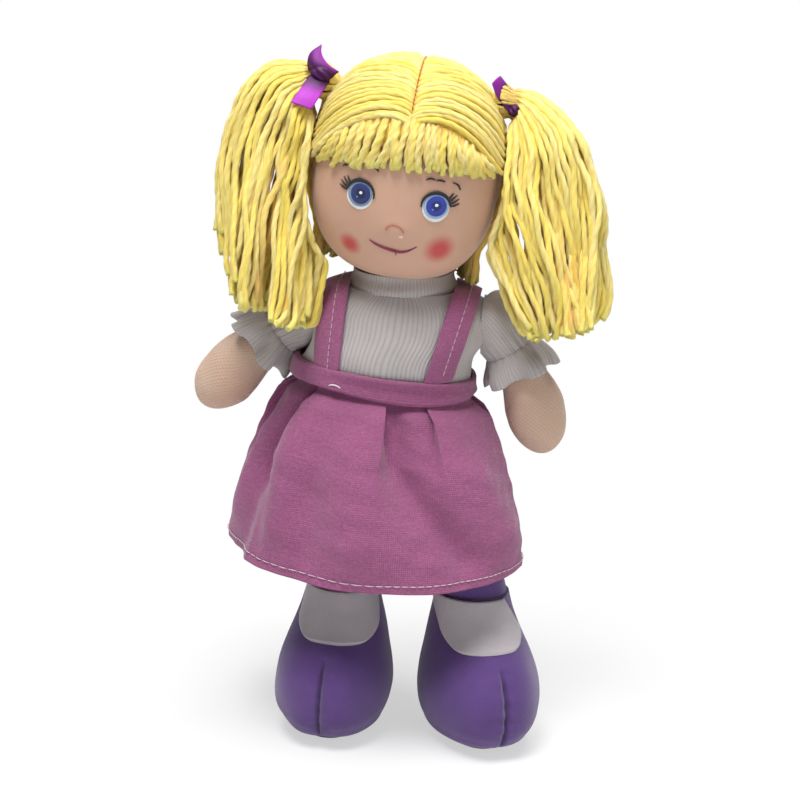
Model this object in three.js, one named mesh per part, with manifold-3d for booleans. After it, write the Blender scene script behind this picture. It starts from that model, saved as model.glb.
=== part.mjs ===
// A stuffed cloth doll, about 38 cm tall: satin head with yarn hair in two tied bunches, rib-knit shirt,
// linen pinafore skirt on straps, knit mitten arms, and soft legs that end in purple shoes.
// Millimetres, +Z up, the doll faces -Y and its left hand is at +X. Every filled piece is one closed solid.
import * as THREE from "three";
import { mergeVertices } from "three/addons/utils/BufferGeometryUtils.js";
import Module from "manifold-3d";

const wasm = await Module();
wasm.setup();

// Clearances and thicknesses that several pieces share
const SEAM_GAP = 0.3; // air between two pieces that touch
const CLOTH = 1.7; // shirt and sleeve cloth with its seam allowance
const LINEN = 2; // pinafore linen, folded once
const OVERRUN = 60; // how far a cutter reaches past what it cuts
const WELD_DISTANCE = 0.0001; // points nearer than this are one point

// Heights of the stack, from the floor up
const SOLE_THICKNESS = 3;
const SHOE_HEIGHT = 82; // floor to the seam between shoe and leg
const LEG_LENGTH = 91; // that seam to the hip seam
const TORSO_LENGTH = 78; // hip seam to the flat seat of the neck
const NECK_LENGTH = 17; // that seat to the middle of the neck ball
const HEAD_DROP = 8; // the head's lowest point under the middle of the neck ball

// Head
const HEAD_WIDTH = 98;
const HEAD_DEPTH = 94;
const HEAD_HEIGHT = 112;
const HEAD_FORWARD = 11; // its middle in front of the neck
const HEAD_TILT = THREE.MathUtils.degToRad(6); // towards the doll's left

// Hair
const HAIR_THICKNESS = 5.5; // two layers of yarn over the head
const HAIRLINE_HEIGHT = 33; // over the head's middle, at the forehead
const TEMPLE_HEIGHT = 12; // over the head's middle, beside the eyes
const NAPE_DEPTH = 36; // under the head's middle, at the back
const FRINGE_THICKNESS = 4;
const FRINGE_TIP_HEIGHT = 5; // over the head's middle
const STITCH_WIDTH = 2.4;
const STITCH_THICKNESS = 0.9;
const TUFT_ROOT_RADIUS = 14;
const TIE_RADIUS = 7.5; // the yarn where the ribbon grips it
const RIGHT_TIE_REACH = 58; // the tied end of the yarn out from the head's middle
const LEFT_TIE_REACH = 50;
const RIGHT_TIE_HEIGHT = 38; // and over it
const LEFT_TIE_HEIGHT = 43;
const RIGHT_PIGTAIL_SPREAD = 47.5; // from the tie outwards
const LEFT_PIGTAIL_SPREAD = 57.5;
const RIGHT_PIGTAIL_DROP = 134.5; // from the tie down
const LEFT_PIGTAIL_DROP = 127.5;
const PIGTAIL_DEPTH = 36;
const PIGTAIL_FORWARD = 27; // the cut ends in front of the tie

// Ribbon
const RIBBON_WIDTH = 12;
const RIBBON_THICKNESS = 1.2;
const RIBBON_GATHER = 6; // the ribbon's width where it is pulled tight
const RIBBON_TAIL = 15;
const KNOT_RADIUS = 4;
const RIBBON_BOW_SHARE = 0.25; // how far a cut end bows out, as a share of its length

// Face embroidery
const EYE_SPACING = 38.8;
const EYE_DEPTH = 9.6; // under the head's middle
const EYE_RADIUS = 7.7;
const NOSE_DEPTH = 26.5;
const NOSE_WIDTH = 9;
const NOSE_RISE = 2.2;
const MOUTH_DEPTH = 33;
const MOUTH_WIDTH = 25;
const MOUTH_SAG = 5;
const THREAD_WIDTH = 1.3;
const THREAD_THICKNESS = 0.8;

// Torso, neck and collar
const TORSO_WIDTH = 90;
const TORSO_DEPTH = 74;
const WAIST_SHIFT = 7.3; // the waist leans towards the doll's right
const WAIST_HEIGHT = 31; // over the hip seam
const WAIST_TILT = THREE.MathUtils.degToRad(4.8);
const HIP_SEAM_RADIUS = 2.5;
const HIP_SEAM_LENGTH = 76;
const NECK_RADIUS = 16;
const NECK_FLANGE_RADIUS = 25;
const NECK_FLANGE_HEIGHT = 4;
const NECK_BALL_RADIUS = 21;
const COLLAR_BASE_WIDTH = 3.6;
const COLLAR_HEIGHT = 7;

// Arms and sleeves
const SHOULDER_HALF_WIDTH = 45.4; // the flat shoulder seam, from the body's middle
const SHOULDER_DROP = 15; // the arm's hinge under the neck seat
const LEFT_SHOULDER_RISE = 4; // the left one stands higher
const ARMHOLE_RADIUS = 26;
const ARM_LENGTH = 85;
const ARM_WIDTH = 33;
const ARM_DEPTH = 26;
const ARM_EDGE = 0.8; // half the thickness of the sewn edge at the shoulder
const SLEEVE_HEIGHT = 29;
const SLEEVE_DEPTH = 38;
const SLEEVE_LENGTH = 24;
const SLEEVE_PUFF_SHARE = 0.12; // how far it puffs out halfway, as a share of its width
const CUFF_WIDTH = 28; // where elastic gathers the sleeve
const RUFFLE_LENGTH = 14;
const RUFFLE_FLARE = 5.5;
const RUFFLE_WAVE = 2; // how far its edge stands out and in, as it goes round
const RUFFLE_WAVES = 8;

// Pinafore
const WAISTBAND_HEIGHT = 8;
const STRAP_WIDTH = 15;
const STRAP_THICKNESS = 1.4;
const STRAP_TOP_HALF_SPACING = 35;
const STRAP_FOOT_HALF_SPACING = 30;
const SKIRT_LENGTH = 94; // waistband to hem
const HEM_WIDTH = 166;
const HEM_DEPTH = 124;
const HEM_FORWARD = 6;
const HEM_DIP = 9; // the hem hangs lower in front
const PLEAT_DEPTH = 8;
const PLEAT_SPAN = THREE.MathUtils.degToRad(11);

// Legs and shoes
const HIP_SPACING = 41;
const RIGHT_ANKLE_SHIFT = -4; // from the hip outwards
const LEFT_ANKLE_SHIFT = 27;
const LEG_WIDTH = 42;
const LEG_DEPTH = 40;
const SHOE_WIDTH = 65;
const TOE_REACH = 58; // from the leg's axis forwards
const HEEL_REACH = 24; // from the leg's axis backwards
const INSTEP_WIDTH = 43;
const INSTEP_HEIGHT = 26;
const INSTEP_CORNER = 9;
const INSTEP_THICKNESS = 1.2;

// Derived heights
const HIP_HEIGHT = SHOE_HEIGHT + LEG_LENGTH;
const NECK_SEAT = HIP_HEIGHT + TORSO_LENGTH;
const NOD_HEIGHT = NECK_SEAT + NECK_LENGTH;
const SHOULDER_HEIGHT = NECK_SEAT - SHOULDER_DROP;

// How square the level slices are: 2 is an ellipse, more is squarer
const CHIN_POWER = 2.6;
const CROWN_POWER = 2.25;
const FACE_POWER = 2.2;
const TORSO_POWER = 2.3;
const LIMB_POWER = 2.1;
const SHOE_POWER = 2.15;
const SKIRT_POWER = 2.15;

// Tables of shares. Each row's first value is how far along the piece it stands.
// Torso, from the hip seam up: half width, half depth, lean with the waist
const TORSO_SHARES = [
  [0, 0.8, 0.02, 0.4],
  [0.06, 0.83, 0.08, 0.5],
  [0.13, 0.88, 0.25, 0.6],
  [0.27, 0.95, 0.58, 0.85],
  [0.4, 1, 0.9, 1],
  [0.56, 1, 1, 0.85],
  [0.74, 1.09, 0.94, 0.22],
  [0.88, 1.06, 0.84, 0.08],
  [0.96, 0.9, 0.75, 0],
  [1, 0.72, 0.7, 0],
];
// Arm, from the shoulder seam: half width, half depth
const ARM_SHARES = [
  [0, 0.05, 0.8],
  [0.2, 0.6, 0.76],
  [0.32, 0.66, 0.82],
  [0.48, 0.78, 0.92],
  [0.72, 1, 1],
  [0.86, 0.94, 0.92],
  [0.96, 0.62, 0.6],
  [1, 0.25, 0.25],
];
// Leg, from the hip seam down: half width, half depth
const LEG_SHARES = [
  [0, 0.8, 0.02],
  [0.06, 0.84, 0.08],
  [0.15, 0.9, 0.4],
  [0.31, 1, 0.82],
  [0.55, 1, 1],
  [0.8, 0.95, 0.98],
  [1, 0.93, 0.96],
];
// Shoe, from the sole up: half width, toe reach, heel reach
const SHOE_SHARES = [
  [0, 0.7, 0.78, 0.72],
  [0.12, 0.89, 0.94, 0.92],
  [0.28, 1, 1, 1],
  [0.44, 0.985, 0.95, 1],
  [0.6, 0.89, 0.79, 0.96],
  [0.73, 0.8, 0.59, 0.92],
  [0.86, 0.71, 0.45, 0.88],
  [1, 0.63, 0.36, 0.83],
];
// Mock turtleneck's outer outline: share of its base width, share of its height
const COLLAR_SHARES = [
  [1, 0],
  [0.7, 0.35],
  [0.5, 0.9],
  [0.25, 1],
];
// Tuft of gathered yarn: share of its root radius, share of its reach
const TUFT_SHARES = [
  [1, 0.55],
  [0.8, 0.72],
];
// The hair's edge beside the face, behind the middle: share of the head's depth, share of the nape's depth
const HAIR_EDGE_SHARES = [
  [0.06, 0],
  [0.06, 0.5],
  [0.2, 1],
  [1, 1],
];
// The fringe's ends beside the face, in front of the middle, as shares of the head's depth
const FRINGE_END_SHARES = [0.1, 0.02];
// How a skirt hangs: the first is how fast it flares, then where its pleats start and end in a half wave
const FLARE_SHARE = 1.6;
const PRESS_SHARES = [0.15, 0.8];
// A pigtail's fullness front to back: where it starts and ends in a half wave, and where it has opened out
const FULLNESS_SHARES = [0.11, 0.75];
const OPENED_SHARE = 1 / 3;
// Where the skirt's pleats are pressed in, as shares of a turn from the front towards the doll's left
const PLEAT_SHARES = [0.045, 0.19, 0.29, 0.39, 0.5, 0.61, 0.71, 0.865, 0.955];

// What differs between the doll's right (-1) and left (+1) side. Angles are in degrees.
// A pigtail's outline in front view has matching points on its outer and inner edge, as shares of
// its spread outwards and its drop.
const SIDES = [
  {
    side: -1,
    name: "right",
    shoulderRise: 0,
    armHeadings: [60, 32],
    hipToAnkle: RIGHT_ANKLE_SHIFT,
    toeOut: 6,
    insteps: 14,
    tieReach: RIGHT_TIE_REACH,
    tieHeight: RIGHT_TIE_HEIGHT,
    ribbonTurn: 0,
    pigtailSpread: RIGHT_PIGTAIL_SPREAD,
    pigtailDrop: RIGHT_PIGTAIL_DROP,
    outerShares: [
      [0, 0],
      [0.15, 0.01],
      [0.49, -0.01],
      [0.8, -0.17],
      [0.96, -0.39],
      [1, -0.62],
      [0.95, -0.78],
      [0.79, -0.89],
    ],
    innerShares: [
      [0, -0.11],
      [-0.01, -0.19],
      [-0.12, -0.26],
      [-0.2, -0.38],
      [-0.24, -0.53],
      [-0.24, -0.72],
      [-0.2, -0.97],
      [-0.03, -1],
    ],
  },
  {
    side: 1,
    name: "left",
    shoulderRise: LEFT_SHOULDER_RISE,
    armHeadings: [40, 10],
    hipToAnkle: LEFT_ANKLE_SHIFT,
    toeOut: 26,
    insteps: 4,
    tieReach: LEFT_TIE_REACH,
    tieHeight: LEFT_TIE_HEIGHT,
    ribbonTurn: 60,
    pigtailSpread: LEFT_PIGTAIL_SPREAD,
    pigtailDrop: LEFT_PIGTAIL_DROP,
    outerShares: [
      [0, 0],
      [0.2, -0.02],
      [0.5, -0.12],
      [0.67, -0.24],
      [0.82, -0.42],
      [0.89, -0.64],
      [1, -0.87],
      [0.87, -0.93],
    ],
    innerShares: [
      [0, -0.11],
      [0.03, -0.18],
      [-0.02, -0.28],
      [-0.08, -0.43],
      [-0.08, -0.59],
      [0, -0.81],
      [0.08, -0.98],
      [0.25, -1],
    ],
  },
];

// Facet counts
const RING_SIDES = 24;
const HEAD_SIDES = 32;
const HEAD_RINGS = 15;
const TORSO_RINGS = 12;
const LIMB_RINGS = 10;
const SLEEVE_RINGS = 4;
const RUFFLE_RINGS = 3;
const PIGTAIL_RINGS = 13;
const SKIRT_SIDES = 64;
const SKIRT_RINGS = 6;
const RUFFLE_SIDES = 40;
const ROUND_SEGMENTS = 28;
const BALL_STEPS = 8;
const THREAD_STEPS = 10;
const TAIL_STEPS = 4;
const ARM_STEPS = 40; // used to work out the arm's path only

const { degToRad } = THREE.MathUtils;
const X_AXIS = new THREE.Vector3(1, 0, 0);
const Y_AXIS = new THREE.Vector3(0, 1, 0);
const Z_AXIS = new THREE.Vector3(0, 0, 1);

// The point of a superellipse at an angle, within a square of half width 1.
function superPoint(angle, power) {
  const bend = (value) => Math.sign(value) * Math.abs(value) ** (2 / power);
  return [bend(Math.cos(angle)), bend(Math.sin(angle))];
}

// A closed ring of points round a centre: across and deep are its two half axes.
function ring(centre, across, deep, power = 2, sides = RING_SIDES) {
  return Array.from({ length: sides }, (_, i) => {
    const [u, v] = superPoint((i / sides) * 2 * Math.PI, power);
    return centre.clone().addScaledVector(across, u).addScaledVector(deep, v);
  });
}

// Six times the volume inside a triangle mesh: below zero when it is inside out.
function signedVolume(points, faces) {
  const of = ([a, b, c]) => points[a].dot(points[b].clone().cross(points[c]));
  return faces.reduce((sum, face) => sum + of(face), 0);
}

// A closed solid over rings of equally many points. Its ends are filled, or the last ring meets the first.
function skinOf(rings, looped = false) {
  const points = rings.flat();
  const sides = rings[0].length;
  const faces = [];
  const join = (from, to) => {
    for (let i = 0; i < sides; i++) {
      const next = (i + 1) % sides;
      faces.push([from * sides + i, from * sides + next, to * sides + next]);
      faces.push([from * sides + i, to * sides + next, to * sides + i]);
    }
  };
  const fill = (at, turned) => {
    const middle = new THREE.Vector3();
    rings[at].forEach((point) => middle.addScaledVector(point, 1 / sides));
    points.push(middle);
    for (let i = 0; i < sides; i++) {
      const edge = [at * sides + i, at * sides + ((i + 1) % sides)];
      faces.push([points.length - 1, ...(turned ? edge.reverse() : edge)]);
    }
  };
  for (let row = 0; row + 1 < rings.length; row++) join(row, row + 1);
  if (looped) {
    join(rings.length - 1, 0);
  } else {
    fill(0, true);
    fill(rings.length - 1, false);
  }
  if (signedVolume(points, faces) < 0) faces.forEach((face) => face.reverse());
  const geometry = new THREE.BufferGeometry().setFromPoints(points);
  return geometry.setIndex(faces.flat());
}

// Reads a table of shares smoothly: give a share of the way along, get the row's other values.
function reader(rows) {
  const places = rows.map((row) => row[0]);
  const values = rows.flatMap((row) => row.slice(1));
  const spline = new THREE.CubicInterpolant(places, values, rows[0].length - 1);
  return (share) => [...spline.evaluate(share)];
}

// The shares from 0 to 1 in a number of even steps.
function evenShares(steps) {
  return Array.from({ length: steps + 1 }, (_, i) => i / steps);
}

// A geometry as a solid that can be joined and cut.
function solidOf(geometry) {
  const bare = geometry.clone();
  bare.deleteAttribute("normal");
  bare.deleteAttribute("uv");
  const merged = mergeVertices(bare, WELD_DISTANCE);
  const vertProperties = merged.getAttribute("position").array;
  const triVerts = new Uint32Array(merged.index.array);
  return new wasm.Manifold(new wasm.Mesh({ numProp: 3, vertProperties, triVerts }));
}

// A solid back as a geometry.
function geometryOf(solid) {
  const { vertProperties, triVerts } = solid.getMesh();
  const geometry = new THREE.BufferGeometry();
  geometry.setAttribute("position", new THREE.BufferAttribute(vertProperties, 3));
  return geometry.setIndex(new THREE.BufferAttribute(triVerts, 1));
}

// The first solid less all the others.
function cut(geometry, ...cutters) {
  return geometryOf(cutters.reduce((left, cutter) => left.subtract(solidOf(cutter)), solidOf(geometry)));
}

// What all the solids share.
function common(geometry, ...others) {
  return geometryOf(others.reduce((left, other) => left.intersect(solidOf(other)), solidOf(geometry)));
}

// All the solids joined into one.
function fused(geometry, ...others) {
  return geometryOf(others.reduce((left, other) => left.add(solidOf(other)), solidOf(geometry)));
}

// A block between two corners.
function block(low, high) {
  const size = new THREE.Vector3().subVectors(high, low);
  const middle = new THREE.Vector3().addVectors(low, high).multiplyScalar(1 / 2);
  return new THREE.BoxGeometry(size.x, size.y, size.z).translate(middle.x, middle.y, middle.z);
}

// An outline drawn in side view (y, z), carried right through the doll along X.
function throughSide(outline, width) {
  const shape = new THREE.Shape(outline.map(([y, z]) => new THREE.Vector2(y, z)));
  const geometry = new THREE.ExtrudeGeometry(shape, { depth: width, bevelEnabled: false });
  const turn = new THREE.Matrix4().makeBasis(Y_AXIS, Z_AXIS, X_AXIS);
  return geometry.applyMatrix4(turn).translate(-width / 2, 0, 0);
}

// A shape drawn in front view (x, z), carried forwards from y = 0.
function forwards(shape, reach) {
  const geometry = new THREE.ExtrudeGeometry(shape, { depth: reach, bevelEnabled: false });
  const turn = new THREE.Matrix4().makeBasis(X_AXIS, Z_AXIS, Y_AXIS.clone().negate());
  return geometry.applyMatrix4(turn);
}

// A band of even width along the parabola z = rise * (1 - t * t), for t from -1 to 1.
function arcBand(halfWidth, rise, width) {
  const steps = evenShares(THREAD_STEPS).map((share) => 2 * share - 1);
  const edge = (offset) => steps.map((t) => new THREE.Vector2(t * halfWidth, rise * (1 - t * t) + offset));
  return new THREE.Shape([...edge(-width / 2), ...edge(width / 2).reverse()]);
}

// Materials
const fabric = (color, roughness = 0.9) => new THREE.MeshStandardMaterial({ color, roughness, metalness: 0 });
const SKIN = 0xdfb096;
const KNIT_SKIN = 0xc9a58a;
const YARN = 0xf2d968;
const SHIRT_WHITE = 0xdad8d6;
const LINEN_MAUVE = 0x8f5078;
const SHOE_PURPLE = 0x5e3f86;
const SATIN_PURPLE = 0xa020c0;

const doll = new THREE.Group();

// Adds a named piece to the doll, or to one of its groups.
function add(name, geometry, material, parent = doll) {
  const mesh = new THREE.Mesh(geometry, material);
  mesh.name = name;
  parent.add(mesh);
  return mesh;
}

// Torso: pinched flat at the hip seam, full at the waist and chest, with a flat seat for the neck.
const readTorso = reader(TORSO_SHARES);

function torsoForm(grow = 0) {
  const rings = evenShares(TORSO_RINGS).map((share) => {
    const [width, depth, lean] = readTorso(share);
    const z = HIP_HEIGHT - grow + share * (TORSO_LENGTH + 2 * grow);
    const centre = new THREE.Vector3(-lean * WAIST_SHIFT, 0, z);
    const across = X_AXIS.clone().multiplyScalar((width * TORSO_WIDTH) / 2 + grow);
    const deep = Y_AXIS.clone().multiplyScalar((depth * TORSO_DEPTH) / 2 + grow);
    return ring(centre, across, deep, TORSO_POWER);
  });
  return skinOf(rings);
}

// The room that a sleeve and an arm need beside the shirt, round the swing axis of both shoulders. What
// lies under the shirt is cut back further, by an inset.
function armholeRoom(inset = 0) {
  const radius = ARMHOLE_RADIUS + inset;
  const rooms = SIDES.map(({ side, shoulderRise }) => {
    const room = new THREE.CylinderGeometry(radius, radius, OVERRUN, ROUND_SEGMENTS);
    const middle = side * (SHOULDER_HALF_WIDTH - inset + OVERRUN / 2);
    return room.rotateZ(Math.PI / 2).translate(middle, 0, SHOULDER_HEIGHT + shoulderRise);
  });
  return fused(...rooms);
}

// A round bar along the hip seam.
function hipBar(radius, length) {
  const bar = new THREE.CylinderGeometry(radius, radius, length, RING_SIDES / 2);
  return bar.rotateZ(Math.PI / 2).translate(0, 0, HIP_HEIGHT);
}

// The room that the hip seam's roll needs in the torso and the legs.
const hipSlot = () => hipBar(HIP_SEAM_RADIUS + SEAM_GAP, TORSO_WIDTH + OVERRUN);

function makeTorso() {
  add("torso", cut(torsoForm(), hipSlot(), armholeRoom(CLOTH + SEAM_GAP)), fabric(SKIN));
  add("hip_seam", hipBar(HIP_SEAM_RADIUS, HIP_SEAM_LENGTH), fabric(SHOE_PURPLE));
}

// The tilted slab round the waist, between two heights over the waist's middle.
function waistSlab(low, high) {
  const reach = OVERRUN + TORSO_WIDTH;
  const slab = block(new THREE.Vector3(-reach, -reach, low), new THREE.Vector3(reach, reach, high));
  return slab.rotateY(WAIST_TILT).translate(-WAIST_SHIFT, 0, HIP_HEIGHT + WAIST_HEIGHT);
}

function makeShirt() {
  const shirtFoot = HIP_HEIGHT + WAIST_HEIGHT - WAISTBAND_HEIGHT;
  const reach = OVERRUN + TORSO_WIDTH;
  const between = block(
    new THREE.Vector3(-reach, -reach, shirtFoot),
    new THREE.Vector3(reach, reach, NECK_SEAT),
  );
  const lining = cut(torsoForm(SEAM_GAP), armholeRoom(CLOTH));
  const wall = cut(torsoForm(SEAM_GAP + CLOTH), lining, armholeRoom());
  add("shirt", common(wall, between), fabric(SHIRT_WHITE));
}

// Mock turtleneck: a closed profile turned round the neck.
function makeCollar() {
  const inner = NECK_FLANGE_RADIUS + SEAM_GAP + SEAM_GAP / 2;
  const foot = NECK_SEAT + SEAM_GAP;
  const outer = ([out, up]) => [inner + out * COLLAR_BASE_WIDTH, foot + up * COLLAR_HEIGHT];
  const outside = COLLAR_SHARES.map(outer);
  const profile = [[inner, foot], ...outside, [inner, foot + COLLAR_HEIGHT - CLOTH / 2], [inner, foot]];
  const points = profile.map(([radius, z]) => new THREE.Vector2(radius, z));
  const collar = new THREE.LatheGeometry(points, ROUND_SEGMENTS).rotateX(Math.PI / 2);
  add("collar", collar, fabric(SHIRT_WHITE));
}

// Neck: a flange on the torso's seat, a stem, and a ball that the head turns and nods on.
function makeNeck() {
  const foot = NECK_SEAT + SEAM_GAP;
  const ballFoot = -Math.acos(NECK_RADIUS / NECK_BALL_RADIUS);
  const arc = evenShares(BALL_STEPS).map((share) => {
    const angle = THREE.MathUtils.lerp(ballFoot, Math.PI / 2, share);
    return [NECK_BALL_RADIUS * Math.cos(angle), NOD_HEIGHT + NECK_BALL_RADIUS * Math.sin(angle)];
  });
  const profile = [
    [0, foot],
    [NECK_FLANGE_RADIUS, foot],
    [NECK_FLANGE_RADIUS, foot + NECK_FLANGE_HEIGHT / 2],
    [NECK_RADIUS, foot + NECK_FLANGE_HEIGHT],
    ...arc.slice(0, -1),
    [0, NOD_HEIGHT + NECK_BALL_RADIUS],
  ];
  const points = profile.map(([radius, z]) => new THREE.Vector2(radius, z));
  add("neck", new THREE.LatheGeometry(points, ROUND_SEGMENTS).rotateX(Math.PI / 2), fabric(SKIN));
}

// Waistband and straps lie on the shirt; the straps run over the shoulders and down the back.
function makeWaistband() {
  const onShirt = 2 * SEAM_GAP + CLOTH;
  const wall = cut(torsoForm(onShirt + LINEN), torsoForm(onShirt));
  const slab = waistSlab(-WAISTBAND_HEIGHT / 2, WAISTBAND_HEIGHT / 2);
  add("waistband", common(wall, slab), fabric(LINEN_MAUVE));
}

function makeStrap({ side, name }) {
  const onShirt = 2 * SEAM_GAP + CLOTH;
  const footHeight = HIP_HEIGHT + WAIST_HEIGHT;
  const topHeight = NECK_SEAT + OVERRUN;
  const spread = (STRAP_TOP_HALF_SPACING - STRAP_FOOT_HALF_SPACING) * side + WAIST_SHIFT;
  const slope = spread / (NECK_SEAT - footHeight);
  const middleAt = (z) => side * STRAP_FOOT_HALF_SPACING - WAIST_SHIFT + slope * (z - footHeight);
  const low = footHeight - OVERRUN;
  const corners = [[low, -1], [low, 1], [topHeight, 1], [topHeight, -1]];
  const outline = corners.map(([z, edge]) => new THREE.Vector2(middleAt(z) + (edge * STRAP_WIDTH) / 2, z));
  const lane = forwards(new THREE.Shape(outline), 2 * TORSO_DEPTH).translate(0, TORSO_DEPTH, 0);
  const wall = cut(torsoForm(onShirt + STRAP_THICKNESS), torsoForm(onShirt));
  const aboveBand = waistSlab(WAISTBAND_HEIGHT / 2 + SEAM_GAP, TORSO_LENGTH);
  const collarRadius = NECK_FLANGE_RADIUS + COLLAR_BASE_WIDTH + 3 * SEAM_GAP;
  const collarRoom = new THREE.CylinderGeometry(collarRadius, collarRadius, OVERRUN, ROUND_SEGMENTS);
  collarRoom.rotateX(Math.PI / 2).translate(0, 0, NECK_SEAT);
  const strap = cut(common(wall, lane, aboveBand), collarRoom, armholeRoom());
  add(`strap_${name}`, strap, fabric(LINEN_MAUVE));
}

// How deep the pleats are at an angle round the skirt: 0 between them, -1 in the middle of one.
function pleatAt(angle) {
  return PLEAT_SHARES.reduce((sum, place) => {
    const turnsAway = Math.abs(((angle / (2 * Math.PI) - place + 3 / 2) % 1) - 1 / 2);
    const spansAway = (turnsAway * 2 * Math.PI) / PLEAT_SPAN;
    return sum - Math.exp(-spansAway * spansAway);
  }, 0);
}

// One ring of the skirt's cloth, at a share of the way from the tilted waist down to the hem.
function skirtRing(share, inset) {
  const onShirt = 2 * SEAM_GAP + CLOTH + LINEN;
  const waistHeight = HIP_HEIGHT + WAIST_HEIGHT - WAISTBAND_HEIGHT / 2 - SEAM_GAP;
  const flare = 1 - (1 - share) ** FLARE_SHARE;
  const halfWidth = THREE.MathUtils.lerp(TORSO_WIDTH / 2 + onShirt, HEM_WIDTH / 2, flare) - inset;
  const halfDepth = THREE.MathUtils.lerp(TORSO_DEPTH / 2 + onShirt, HEM_DEPTH / 2, flare) - inset;
  const [pressStart, pressEnd] = PRESS_SHARES;
  const press = PLEAT_DEPTH * Math.sin(THREE.MathUtils.lerp(pressStart, pressEnd, share) * Math.PI);
  return Array.from({ length: SKIRT_SIDES }, (_, i) => {
    const angle = (i / SKIRT_SIDES) * 2 * Math.PI;
    const [u, v] = superPoint(angle - Math.PI / 2, SKIRT_POWER);
    const reach = press * Math.sqrt(share) * pleatAt(angle);
    const x = u * (halfWidth + reach);
    const y = v * (halfDepth + reach) - share * HEM_FORWARD;
    const tilt = -x * Math.tan(WAIST_TILT) * (1 - share);
    const dip = (HEM_DIP * share * (Math.cos(angle) + 1)) / 2;
    return new THREE.Vector3(x - WAIST_SHIFT, y, waistHeight + tilt - dip - share * SKIRT_LENGTH);
  });
}

// Skirt: one wall of cloth, pressed into pleats that open downwards.
function makeSkirt() {
  const shares = evenShares(SKIRT_RINGS);
  const outside = shares.map((share) => skirtRing(share, 0));
  const inside = shares.map((share) => skirtRing(share, LINEN)).reverse();
  const wall = skinOf([...outside, ...inside], true);
  const bandRoom = waistSlab(-WAISTBAND_HEIGHT / 2 - SEAM_GAP, OVERRUN);
  const shirtRoom = torsoForm(2 * SEAM_GAP + CLOTH);
  add("skirt", cut(wall, shirtRoom, bandRoom), fabric(LINEN_MAUVE));
}

// Where an arm hinges on its shoulder seam.
function hingeOf({ side, shoulderRise }) {
  const out = SHOULDER_HALF_WIDTH + SEAM_GAP + ARM_EDGE;
  return new THREE.Vector3(side * out, 0, SHOULDER_HEIGHT + shoulderRise);
}

// The path of an arm in front view, from the shoulder seam: its heading turns evenly from the first
// angle off straight down to the second.
function armPath(sideSizes) {
  const { side, armHeadings } = sideSizes;
  const [first, last] = armHeadings.map(degToRad);
  const heading = (share) => THREE.MathUtils.lerp(first, last, share);
  const places = [hingeOf(sideSizes)];
  evenShares(ARM_STEPS).slice(1).forEach((share) => {
    const angle = heading(share - 1 / ARM_STEPS / 2);
    const step = new THREE.Vector3(side * Math.sin(angle), 0, -Math.cos(angle));
    places.push(places.at(-1).clone().addScaledVector(step, ARM_LENGTH / ARM_STEPS));
  });
  return (share) => {
    const along = Math.min(share, 1) * ARM_STEPS;
    const low = Math.min(Math.floor(along), ARM_STEPS - 1);
    const place = places[low].clone().lerp(places[low + 1], along - low);
    const angle = heading(share);
    return { place, outward: new THREE.Vector3(side * Math.cos(angle), 0, Math.sin(angle)) };
  };
}

// All that lies between the two flat shoulder seams.
function betweenShoulders() {
  const width = 2 * (SHOULDER_HALF_WIDTH + SEAM_GAP);
  return new THREE.BoxGeometry(width, 2 * OVERRUN, 2 * OVERRUN).translate(0, 0, SHOULDER_HEIGHT);
}

// Arm: a mitten with no fingers, pinched at the shoulder, fullest at the hand.
function makeArm(sideSizes) {
  const along = armPath(sideSizes);
  const read = reader(ARM_SHARES);
  const rings = evenShares(LIMB_RINGS + 2).map((share) => {
    const { place, outward } = along(share);
    const [width, depth] = read(share);
    const across = outward.multiplyScalar((width * ARM_WIDTH) / 2);
    return ring(place, across, Y_AXIS.clone().multiplyScalar((depth * ARM_DEPTH) / 2), LIMB_POWER);
  });
  add(`arm_${sideSizes.name}`, cut(skinOf(rings), betweenShoulders()), fabric(KNIT_SKIN));
}

// Cap sleeve: level with the flat shoulder seam at one end, square to the arm at the gathered cuff. Its
// rings start inside the seam, so that a cut there leaves a clean edge.
function sleeveRings(sideSizes, grow) {
  const along = armPath(sideSizes);
  const cuffShare = SLEEVE_LENGTH / ARM_LENGTH;
  const seam = hingeOf(sideSizes);
  seam.x -= sideSizes.side * (ARM_EDGE + CLOTH);
  return evenShares(SLEEVE_RINGS).map((share) => {
    const { place, outward } = along(share * cuffShare);
    const centre = seam.clone().lerp(place, share);
    const lean = Z_AXIS.clone().lerp(outward, share).normalize();
    const puff = 1 + SLEEVE_PUFF_SHARE * Math.sin(share * Math.PI);
    const halfHeight = THREE.MathUtils.lerp(SLEEVE_HEIGHT, CUFF_WIDTH, share) / 2;
    const halfDepth = THREE.MathUtils.lerp(SLEEVE_DEPTH, CUFF_WIDTH, share) / 2;
    const across = lean.multiplyScalar(halfHeight * puff + grow);
    return ring(centre, across, Y_AXIS.clone().multiplyScalar(halfDepth * puff + grow), LIMB_POWER);
  });
}

const sleeveForm = (sideSizes, grow = 0) => skinOf(sleeveRings(sideSizes, grow));

function makeSleeve(sideSizes) {
  const inside = sleeveRings(sideSizes, -CLOTH).reverse();
  const wall = skinOf([...sleeveRings(sideSizes, 0), ...inside], true);
  add(`sleeve_${sideSizes.name}`, cut(wall, betweenShoulders()), fabric(SHIRT_WHITE));
}

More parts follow.
